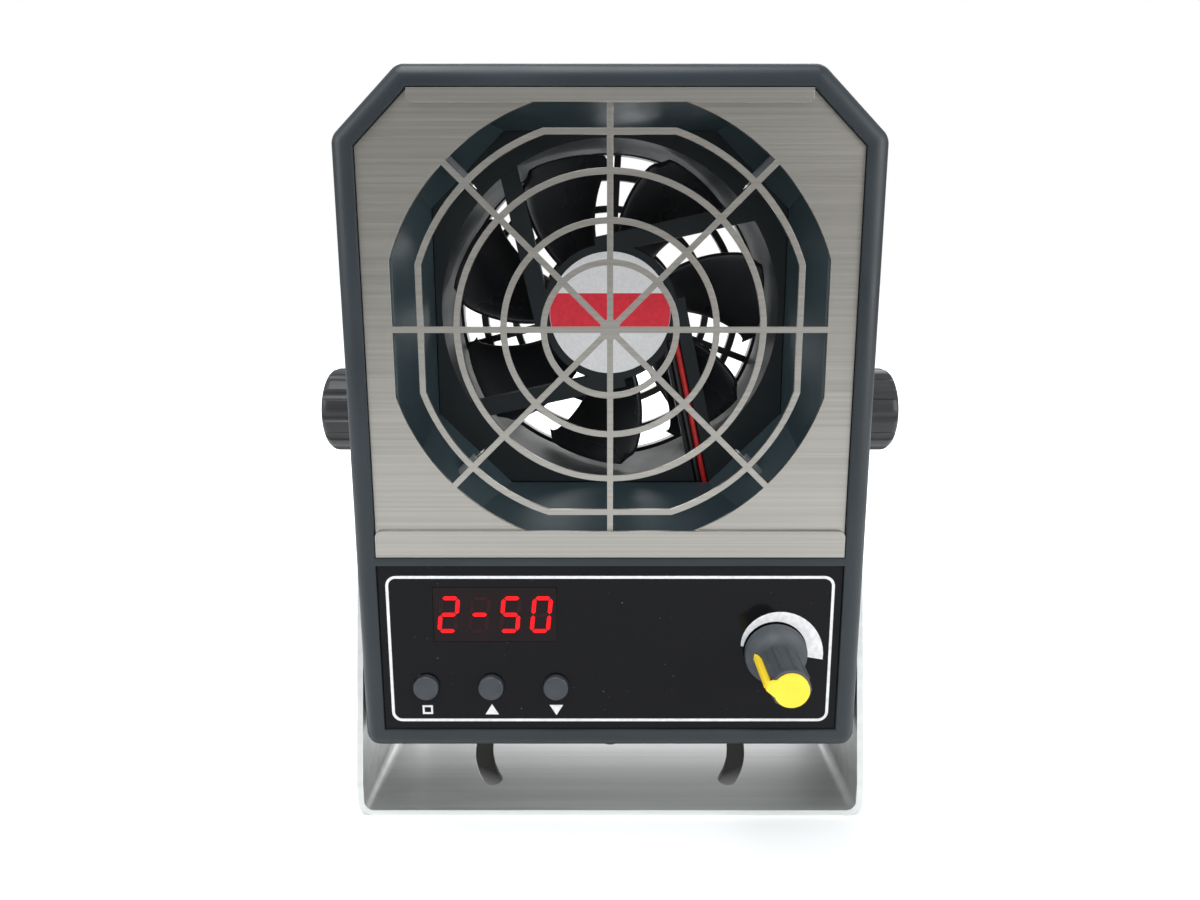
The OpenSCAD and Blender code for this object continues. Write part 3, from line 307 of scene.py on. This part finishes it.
def spread(mat, value, low, high, at=(0.3, 0.7)):
    """Turns a pattern into a range of numbers, or into a range of colours."""
    n, l = mat.node_tree.nodes, mat.node_tree.links
    if isinstance(low, (int, float)):
        ramp = n.new("ShaderNodeMapRange")
        for key, number in zip(("From Min", "From Max", "To Min", "To Max"), (*at, low, high)):
            ramp.inputs[key].default_value = number
        l.new(value, ramp.inputs["Value"])
        return ramp.outputs["Result"]
    ramp = n.new("ShaderNodeValToRGB")
    ramp.color_ramp.elements[0].position, ramp.color_ramp.elements[1].position = at
    ramp.color_ramp.elements[0].color = (*low, 1)
    ramp.color_ramp.elements[1].color = (*high, 1)
    l.new(value, ramp.inputs["Fac"])
    return ramp.outputs["Color"]


def feed(mat, socket, value):
    shader = mat.node_tree.nodes["Principled BSDF"]
    mat.node_tree.links.new(value, shader.inputs[socket])


def steady(mat, socket, value):
    """One value for the whole surface, where the finish has no pattern."""
    mat.node_tree.nodes["Principled BSDF"].inputs[socket].default_value = value


def relief(mat, value, depth, strength=1.0, edge=0.0):
    """Bump from a pattern, over a soft round on every edge where one is asked for."""
    n, l = mat.node_tree.nodes, mat.node_tree.links
    bump = n.new("ShaderNodeBump")
    bump.inputs["Strength"].default_value = strength
    bump.inputs["Distance"].default_value = depth
    l.new(value, bump.inputs["Height"])
    if edge:
        soft = n.new("ShaderNodeBevel")
        soft.samples = 4
        soft.inputs["Radius"].default_value = edge
        l.new(soft.outputs["Normal"], bump.inputs["Normal"])
    feed(mat, "Normal", bump.outputs["Normal"])


def dress(obj, *mats):
    obj.data.materials.clear()
    for mat in mats:
        obj.data.materials.append(mat)


def fit(obj, body, slot, mat, *replaced):
    """A finished piece: it has its finish and rides on its body."""
    dress(obj, mat)
    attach(obj, body)
    if replaced:
        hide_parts(*replaced)
    return obj


slate = new_finish("slate moulded plastic", (0.016, 0.022, 0.027), 0.42)
steady(slate, "Specular IOR Level", 0.4)
slate_tone = noise(slate, 28, detail=5)
feed(slate, "Base Color", spread(slate, slate_tone, (0.013, 0.018, 0.022), (0.020, 0.027, 0.033)))
feed(slate, "Roughness", spread(slate, noise(slate, 60, detail=4), 0.34, 0.50))
relief(slate, noise(slate, 3600, detail=2), 0.00002, 0.5)

case_lo, case_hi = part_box("front_case")
part_y, rear_y = case_hi.y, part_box("rear_cover")[1].y
panel_lo, panel_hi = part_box("grille_panel")
plate_lo, plate_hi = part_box("control_plate")
GAP = 0.2 * MM
WALL = 2.5 * MM
FRONT_T = 3.8 * MM
TOP_CUT = 15.5 * MM
CORNER = 3.8 * MM
EDGE = 3.6 * MM


def cut_at(inset):
    return TOP_CUT - inset * (2 - math.sqrt(2))


front_shell = rounded_block(
    "front_shell", case_lo, (case_hi.x, part_y, case_hi.z), TOP_CUT, CORNER, EDGE, case_lo.y
)
inner = block(
    "core",
    (case_lo.x + WALL, case_lo.y + FRONT_T, case_lo.z + WALL),
    (case_hi.x - WALL, part_y + 5 * MM, case_hi.z - WALL),
    cut_at(WALL),
)
rim = case_hi.x - panel_hi.x - GAP
panel_seat = block(
    "panel_seat",
    (panel_lo.x - GAP, case_lo.y - 5 * MM, panel_lo.z - GAP),
    (panel_hi.x + GAP, panel_hi.y, panel_hi.z + GAP),
    cut_at(rim),
)
plate_seat = block(
    "plate_seat",
    (plate_lo.x - GAP, case_lo.y - 5 * MM, plate_lo.z - GAP),
    (plate_hi.x + GAP, plate_hi.y, plate_hi.z + GAP),
)
mouth, mouth_cut = 51.8 * MM, 12.6 * MM
mouth_z = 126.0 * MM
mouth_hole = block(
    "mouth_hole",
    (-mouth, case_lo.y - 1 * MM, mouth_z - mouth),
    (mouth, case_lo.y + 8 * MM, mouth_z + mouth),
    mouth_cut,
    mouth_cut,
)
cut_away(front_shell, inner, panel_seat, plate_seat, mouth_hole)
break_edges(front_shell, 0.3 * MM, 2)
fit(front_shell, "housing", "case_slate", slate, "front_case")

fan_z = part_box("fan_shaft")[0].z / 2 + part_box("fan_shaft")[1].z / 2
guard_lo, guard_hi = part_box("rear_guard")
rear_shell = rounded_block(
    "rear_shell",
    (case_lo.x, part_y, case_lo.z),
    (case_hi.x, rear_y, case_hi.z),
    TOP_CUT,
    CORNER,
    EDGE,
    rear_y,
)
inner = block(
    "core",
    (case_lo.x + WALL, part_y - 5 * MM, case_lo.z + WALL),
    (case_hi.x - WALL, rear_y - WALL, case_hi.z - WALL),
    cut_at(WALL),
)
guard_seat = block(
    "guard_seat",
    (guard_lo.x - GAP, guard_lo.y, guard_lo.z - GAP),
    (guard_hi.x + GAP, rear_y + 5 * MM, guard_hi.z + GAP),
)
air_hole = rod_y("air_hole", 45 * MM, 0, fan_z, part_y, rear_y + 2 * MM, 96)
socket_lo, socket_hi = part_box("dc_socket")
socket_x, socket_z = (socket_lo.x + socket_hi.x) / 2, (socket_lo.z + socket_hi.z) / 2
socket_hole = rod_y("socket_hole", 4.1 * MM, socket_x, socket_z, part_y, rear_y + 2 * MM)
screw_lo, screw_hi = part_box("cover_screws")
HEAD_R = 2.7 * MM
screw_x, low_z, top_z = screw_hi.x - HEAD_R, screw_lo.z + HEAD_R, screw_hi.z - HEAD_R
sinks = [
    rod_y("screw_sink", HEAD_R + GAP, sx, sz, rear_y - 4 * MM, rear_y + 2 * MM, 40)
    for sx in (-screw_x, screw_x)
    for sz in (low_z, top_z)
]
cut_away(rear_shell, inner, guard_seat, air_hole, socket_hole, *sinks)
break_edges(rear_shell, 0.3 * MM, 2)
fit(rear_shell, "housing", "case_slate", slate, "rear_cover")

# ---------------------------------------------------------------- steel grille panel
# One sheet of 0.8 mm stainless with a horizontal brushed grain. The spider web is
# laser cut, and the top and bottom edges are folded forward into flat hems.
brushed = new_finish("brushed stainless", (0.60, 0.57, 0.53), 0.34, 1.0)
grain = noise(brushed, 1, (22, 22, 9000), 2.0, 0.6)
streak = noise(brushed, 1, (5, 5, 1400), 3.0, 0.6)
feed(brushed, "Base Color", spread(brushed, streak, (0.36, 0.345, 0.315), (0.45, 0.43, 0.395)))
feed(brushed, "Roughness", spread(brushed, grain, 0.30, 0.42))
relief(brushed, grain, 0.000006, 0.25, edge=0.12 * MM)
dress(node["grille_panel"], brushed)

# ---------------------------------------------------------------- control plate
# A gloss-black plate, screen printed in white: a thin frame with round corners, a
# mark under each button and a wedge round the knob. Words are left off.
gloss_black = new_finish("gloss black plate", (0.006, 0.006, 0.007), 0.10)
steady(gloss_black, "Specular IOR Level", 0.12)
feed(gloss_black, "Roughness", spread(gloss_black, noise(gloss_black, 35, detail=5), 0.06, 0.16))
specks = noise(gloss_black, 1500, detail=1)
dust = spread(gloss_black, specks, (0.006, 0.006, 0.007), (0.16, 0.16, 0.16), (0.79, 0.86))
feed(gloss_black, "Base Color", dust)
relief(gloss_black, noise(gloss_black, 18, detail=2), 0.00004, 0.15, edge=0.15 * MM)
dress(node["control_plate"], gloss_black)

ink = new_finish("white screen print", (0.78, 0.78, 0.78), 0.45)
feed(ink, "Base Color", spread(ink, noise(ink, 900, detail=3), (0.66, 0.66, 0.67), (0.84, 0.84, 0.84)))
relief(ink, noise(ink, 2500), 0.00001, 0.3)
INK_T = 0.05 * MM
print_y = plate_lo.y


def printed(name, points, holes=0.0, level=None, slot="plate_black", mat=None):
    """A flat print of ink: an outline drawn on the plate, or at a level, given the ink's thickness."""
    mesh = bpy.data.meshes.new(name)
    build = bmesh.new()
    y = print_y if level is None else level
    face = build.faces.new([build.verts.new((x, y, z)) for x, z in points])
    face.normal_update()
    if face.normal.y > 0:
        face.normal_flip()
    build.to_mesh(mesh)
    build.free()
    obj = bpy.data.objects.new(name, mesh)
    bpy.context.scene.collection.objects.link(obj)
    only(obj)
    bpy.ops.object.mode_set(mode="EDIT")
    bpy.ops.mesh.select_all(action="SELECT")
    if holes:
        bpy.ops.mesh.inset(thickness=holes, depth=0)
        bpy.ops.mesh.delete(type="FACE")
        bpy.ops.mesh.select_all(action="SELECT")
    bpy.ops.mesh.extrude_region_move(TRANSFORM_OT_translate={"value": (0, -INK_T, 0)})
    bpy.ops.mesh.select_all(action="SELECT")
    bpy.ops.mesh.normals_make_consistent(inside=False)
    bpy.ops.object.mode_set(mode="OBJECT")
    return fit(obj, "housing", slot, mat or ink)


def arc(x, z, r, a0, a1, steps):
    """Points along an arc from one angle to another, in degrees."""
    turns = [math.radians(a0 + (a1 - a0) * i / steps) for i in range(steps + 1)]
    return [(x + r * math.cos(t), z + r * math.sin(t)) for t in turns]


def mark_at(x, *corners):
    """The corners of a mark under a button, given in millimetres about its centre."""
    return [(x + a * MM, mark_z + b * MM) for a, b in corners]


frame_x, frame_r = 55.1 * MM, 2.6 * MM
frame_top, frame_low = plate_hi.z - 2.5 * MM, plate_lo.z + 2.0 * MM
printed(
    "printed_frame",
    arc(frame_x - frame_r, frame_low + frame_r, frame_r, -90, 0, 8)
    + arc(frame_x - frame_r, frame_top - frame_r, frame_r, 0, 90, 8)
    + arc(-frame_x + frame_r, frame_top - frame_r, frame_r, 90, 180, 8)
    + arc(-frame_x + frame_r, frame_low + frame_r, frame_r, 180, 270, 8),
    0.7 * MM,
)
buttons = [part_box(b) for b in ("mode_button", "up_button", "down_button")]
button_x = [(lo.x + hi.x) / 2 for lo, hi in buttons]
button_z = (buttons[0][0].z + buttons[0][1].z) / 2
mark_z = button_z - 6.4 * MM
square = mark_at(button_x[0], (-1.3, -1.2), (1.3, -1.2), (1.3, 1.2), (-1.3, 1.2))
printed("printed_square", square, 0.5 * MM)
printed("printed_up", mark_at(button_x[1], (-1.7, -1.3), (1.7, -1.3), (0, 1.5)))
printed("printed_down", mark_at(button_x[2], (0, -1.5), (1.7, 1.3), (-1.7, 1.3)))
knob_lo, knob_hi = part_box("pot_shaft")
knob_x, knob_z = (knob_lo.x + knob_hi.x) / 2, (knob_lo.z + knob_hi.z) / 2
WEDGE_STEPS = 24
wedge = []
for i in range(WEDGE_STEPS + 1):
    share = i / WEDGE_STEPS
    r = 8.6 * MM + 3.6 * MM * share**0.8
    turn = math.radians(170 - 180 * share)
    wedge.append((knob_x + r * math.cos(turn), knob_z + r * math.sin(turn)))
wedge += arc(knob_x, knob_z, 8.0 * MM, -10, 170, WEDGE_STEPS)
printed("printed_wedge", wedge)

# ---------------------------------------------------------------- display
# A four-place seven-segment module behind a smoked window: lit bars glow red, the
# others stay dark.
smoke = new_finish("smoked display face", (0.012, 0.007, 0.008), 0.16)
feed(smoke, "Roughness", spread(smoke, noise(smoke, 400), 0.12, 0.22))
relief(smoke, noise(smoke, 60), 0.00002, 0.2)
steady(smoke, "Specular IOR Level", 0.12)
dress(node["display_module"], smoke)
lit = new_finish("lit segment", (1.0, 0.02, 0.03), 0.3)
feed(lit, "Base Color", spread(lit, noise(lit, 900), (0.55, 0.005, 0.008), (0.65, 0.01, 0.012)))
steady(lit, "Emission Color", (1.0, 0.006, 0.010, 1))
steady(lit, "Emission Strength", 0.9)
steady(lit, "Specular IOR Level", 0.1)
dress(node["lit_segments"], lit)
unlit = new_finish("dark segment", (0.022, 0.008, 0.009), 0.35)
feed(unlit, "Base Color", spread(unlit, noise(unlit, 900), (0.018, 0.006, 0.007), (0.028, 0.010, 0.011)))
steady(unlit, "Specular IOR Level", 0.12)
dress(node["dark_segments"], unlit)

# ---------------------------------------------------------------- push buttons
# Three round caps of slate ABS with a fine satin grain and a small edge round.
cap_slate = new_finish("button plastic", (0.030, 0.036, 0.044), 0.38)
feed(cap_slate, "Roughness", spread(cap_slate, noise(cap_slate, 700), 0.32, 0.46))
cap_slate_tone = noise(cap_slate, 300)
feed(cap_slate, "Base Color", spread(cap_slate, cap_slate_tone, (0.026, 0.032, 0.040), (0.036, 0.043, 0.052)))
relief(cap_slate, noise(cap_slate, 5000), 0.00001, 0.4, edge=0.35 * MM)
for b in ("mode_button", "up_button", "down_button"):
    dress(node[b], cap_slate)

# ---------------------------------------------------------------- speed knob
# A fluted knob of soft-touch slate plastic, closed by a yellow cap whose point runs
# down the barrel as a fin. It is pushed onto the shaft of the potentiometer.
soft_touch = new_finish("soft-touch knob", (0.045, 0.052, 0.060), 0.55)
soft_touch_tone = noise(soft_touch, 250)
feed(soft_touch, "Base Color", spread(soft_touch, soft_touch_tone, (0.040, 0.047, 0.054), (0.055, 0.062, 0.070)))
relief(soft_touch, noise(soft_touch, 3500), 0.00001, 0.4, edge=0.15 * MM)
dress(node["speed_knob"], soft_touch)
yellow = new_finish("yellow cap", (1.0, 0.70, 0.03), 0.35)
feed(yellow, "Base Color", spread(yellow, noise(yellow, 180), (0.96, 0.66, 0.025), (1.0, 0.74, 0.045)))
relief(yellow, noise(yellow, 2500), 0.00001, 0.3, edge=0.15 * MM)
dress(node["knob_cap"], yellow)

# ---------------------------------------------------------------- air duct and emitters
# A tapered eight-sided tunnel of dark teal plastic from the panel back to the fan,
# with four metal needles in grey tubes that look out of its corner walls.
teal = new_finish("duct plastic", (0.030, 0.048, 0.056), 0.38)
teal_tone = noise(teal, 22, detail=4)
feed(teal, "Base Color", spread(teal, teal_tone, (0.024, 0.040, 0.047), (0.040, 0.062, 0.070)))
feed(teal, "Roughness", spread(teal, noise(teal, 50, detail=4), 0.28, 0.46))
relief(teal, noise(teal, 2600), 0.00002, 0.4, edge=0.3 * MM)
dress(node["air_duct"], teal)
tube_grey = new_finish("needle tube", (0.20, 0.21, 0.22), 0.22)
feed(tube_grey, "Roughness", spread(tube_grey, noise(tube_grey, 600), 0.16, 0.28))
dress(node["needle_holders"], tube_grey)
polished = new_finish("polished steel", (0.72, 0.71, 0.69), 0.18, 1.0)
feed(polished, "Roughness", spread(polished, noise(polished, 900), 0.12, 0.26))
relief(polished, noise(polished, 2600), 0.00001, 0.2, edge=0.1 * MM)
for name in ("emitter_needles", "duct_screws", "board_screws", "fan_screws", "guard_screws", "cover_screws",
             "hv_screws", "fan_bearings", "socket_pin", "socket_nut", "pot_nut", "pot_shaft", "fan_shaft",
             "stud_left", "stud_right"):
    dress(node[name], polished)

# ---------------------------------------------------------------- fan frame
# The square frame of a standard axial fan in dull black PBT, and the cup and four
# struts moulded with it, which carry the motor in the middle of the bore.
pbt = new_finish("fan frame plastic", (0.014, 0.018, 0.020), 0.52)
steady(pbt, "Specular IOR Level", 0.22)
feed(pbt, "Base Color", spread(pbt, noise(pbt, 40, detail=4), (0.011, 0.014, 0.016), (0.018, 0.023, 0.025)))
feed(pbt, "Roughness", spread(pbt, noise(pbt, 80), 0.46, 0.60))
relief(pbt, noise(pbt, 2600), 0.00002, 0.35, edge=0.3 * MM)
dress(node["fan_frame"], pbt)
dress(node["fan_spider"], pbt)

# ---------------------------------------------------------------- rotor
# A hollow hub with seven swept blades, moulded in one in black PBT. It turns on
# the shaft, round the motor's windings.
blade_black = new_finish("fan blade plastic", (0.020, 0.021, 0.023), 0.30)
feed(blade_black, "Roughness", spread(blade_black, noise(blade_black, 60), 0.24, 0.38))
blade_black_tone = noise(blade_black, 90)
feed(blade_black, "Base Color", spread(blade_black, blade_black_tone, (0.016, 0.017, 0.018), (0.026, 0.027, 0.030)))
relief(blade_black, noise(blade_black, 2600), 0.00001, 0.3, edge=0.3 * MM)
ROTOR_R, BLADE_TIP, BLADES = 18.5 * MM, 43.3 * MM, 7
BLADE_CHORD, BLADE_T, BLADE_ROOT = 16 * MM, 1.5 * MM, 1.0 * MM
HUB_TOP_T = 1.5 * MM
rotor_lo, rotor_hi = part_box("fan_rotor")


def blade(turn):
    """One swept blade: a sheet of points from hub to tip, twisted from back to front."""
    bpy.ops.mesh.primitive_grid_add(x_subdivisions=14, y_subdivisions=10, size=1)
    obj = fresh("blade")
    for v in obj.data.vertices:
        out, along = v.co.x + 0.5, v.co.y + 0.5
        r = ROTOR_R - BLADE_ROOT + (BLADE_TIP - ROTOR_R + BLADE_ROOT) * out
        lean = 34 * along - 14 * out**1.6
        # the corners of the tip are cut round, as on a moulded blade
        pull = max(0.0, abs(along - 0.5) * 2 - 0.72) / 0.28 * max(0.0, out - 0.8) / 0.2
        r -= 3.2 * MM * pull * pull
        a = math.radians(turn + lean)
        v.co = (r * math.cos(a), rotor_hi.y - 2 * MM - BLADE_CHORD * along, fan_z + r * math.sin(a))
    thick = obj.modifiers.new("thick", "SOLIDIFY")
    thick.thickness = BLADE_T
    thick.offset = 0
    bpy.ops.object.modifier_apply(modifier=thick.name)
    edge = obj.modifiers.new("edge", "BEVEL")
    edge.width = 0.45 * MM
    edge.segments = 2
    edge.limit_method = "ANGLE"
    edge.angle_limit = math.radians(50)
    bpy.ops.object.modifier_apply(modifier=edge.name)
    return obj


hub = rod_y("rotor", ROTOR_R, 0, fan_z, rotor_lo.y, rotor_hi.y, 96)
bpy.ops.object.mode_set(mode="EDIT")
select(hub, lies_on(1, rotor_lo.y))
bpy.ops.mesh.inset(thickness=HUB_TOP_T, depth=0)
hollow = rotor_hi.y - rotor_lo.y - HUB_TOP_T
bpy.ops.mesh.extrude_region_move(TRANSFORM_OT_translate={"value": (0, hollow, 0)})
bpy.ops.object.mode_set(mode="OBJECT")
break_edges(hub, 0.8 * MM, 3, 60)
blades = [blade(360 / BLADES * i) for i in range(BLADES)]
only(hub)
for b in blades:
    b.select_set(True)
bpy.ops.object.join()
bpy.ops.object.shade_smooth_by_angle(angle=math.radians(40))
fit(hub, "rotor", "rotor_black", blade_black, "fan_rotor")

# ---------------------------------------------------------------- sticker
# A round white paper label on the motor's cup, with one plain red band printed
# across it, a little above the middle.
paper = new_finish("sticker", (0.80, 0.80, 0.80), 0.4)
feed(paper, "Base Color", spread(paper, noise(paper, 1200), (0.76, 0.76, 0.77), (0.84, 0.84, 0.84)))
relief(paper, noise(paper, 300), 0.00002, 0.2)
dress(node["fan_label"], paper)
label_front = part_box("fan_label")[0].y
band_red = new_finish("red print", (0.72, 0.02, 0.04), 0.4)
band_red_tone = noise(band_red, 900)
feed(band_red, "Base Color", spread(band_red, band_red_tone, (0.66, 0.018, 0.035), (0.78, 0.025, 0.05)))
LABEL_R = 15.9 * MM


def chord_end(height):
    """The angle at which a level line meets the round sticker's edge."""
    return math.degrees(math.asin(height / LABEL_R))


low_a, top_a = chord_end(-4.0 * MM), chord_end(5.2 * MM)
printed(
    "sticker_band",
    arc(0, fan_z, LABEL_R, low_a, top_a, 10) + arc(0, fan_z, LABEL_R, 180 - top_a, 180 - low_a, 10),
    level=label_front,
    slot="label_white",
    mat=band_red,
)

# ---------------------------------------------------------------- leads and motor
# Two thin insulated leads in the channel of the wide strut, with an ivory plug, and
# the motor's copper windings inside its ferrite ring.
red_wire = new_finish("red lead", (0.55, 0.015, 0.018), 0.35)
feed(red_wire, "Base Color", spread(red_wire, noise(red_wire, 500), (0.45, 0.012, 0.014), (0.62, 0.02, 0.02)))
dress(node["lead_red"], red_wire)
black_wire = new_finish("black lead", (0.012, 0.012, 0.013), 0.35)
feed(black_wire, "Roughness", spread(black_wire, noise(black_wire, 500), 0.3, 0.45))
dress(node["lead_black"], black_wire)
copper = new_finish("copper windings", (0.62, 0.26, 0.11), 0.3, 1.0)
relief(copper, noise(copper, 1, (4000, 10, 10)), 0.00005, 0.8)
dress(node["fan_stator"], copper)
ferrite = new_finish("ferrite ring", (0.06, 0.055, 0.05), 0.6)
relief(ferrite, noise(ferrite, 1500), 0.00004, 0.5)
dress(node["rotor_magnet"], ferrite)
ivory = new_finish("ivory connector", (0.70, 0.66, 0.55), 0.45)
relief(ivory, noise(ivory, 1200), 0.00002, 0.3, edge=0.2 * MM)
dress(node["lead_plug"], ivory)

# ---------------------------------------------------------------- rear guard and socket
# A black moulded guard in the rear cover, and a panel socket for the power plug.
guard_black = new_finish("guard plastic", (0.020, 0.020, 0.022), 0.38)
feed(guard_black, "Roughness", spread(guard_black, noise(guard_black, 70), 0.30, 0.46))
relief(guard_black, noise(guard_black, 3000), 0.00002, 0.4, edge=0.35 * MM)
for name in ("rear_guard", "dc_socket"):
    dress(node[name], guard_black)

# ---------------------------------------------------------------- bracket and clamps
# Folded stainless sheet with a fine satin grain along the bench, and two black
# fluted knobs on steel studs that clamp the housing through nylon washers.
satin = new_finish("satin stainless", (0.74, 0.75, 0.74), 0.42, 1.0)
satin_grain = noise(satin, 1, (10, 3200, 3200), 2.0, 0.6)
satin_tone = noise(satin, 1, (3, 300, 300))
feed(satin, "Base Color", spread(satin, satin_tone, (0.70, 0.71, 0.70), (0.80, 0.81, 0.80)))
feed(satin, "Roughness", spread(satin, satin_grain, 0.36, 0.50))
relief(satin, satin_grain, 0.00001, 0.3, edge=0.12 * MM)
dress(node["bracket"], satin)
for name in ("clamp_knob_left", "clamp_knob_right", "washer_left", "washer_right"):
    dress(node[name], guard_black)
brass = new_finish("brass insert", (0.70, 0.48, 0.20), 0.3, 1.0)
relief(brass, noise(brass, 1, (3000, 200, 200)), 0.00003, 0.6)
dress(node["tilt_inserts"], brass)

# ---------------------------------------------------------------- inside
# A green circuit board with its switches, the potentiometer and the sealed
# high-voltage module on the floor of the housing.
board = new_finish("solder mask", (0.015, 0.13, 0.05), 0.25)
feed(board, "Base Color", spread(board, noise(board, 600), (0.012, 0.11, 0.04), (0.02, 0.16, 0.06)))
dress(node["control_board"], board)
dress(node["tact_switches"], guard_black)
zinc = new_finish("zinc shell", (0.55, 0.55, 0.55), 0.35, 1.0)
relief(zinc, noise(zinc, 800), 0.00002, 0.4, edge=0.2 * MM)
dress(node["pot_body"], zinc)
potting = new_finish("blue potting shell", (0.02, 0.05, 0.18), 0.4)
relief(potting, noise(potting, 900), 0.00003, 0.4, edge=0.4 * MM)
dress(node["hv_module"], potting)
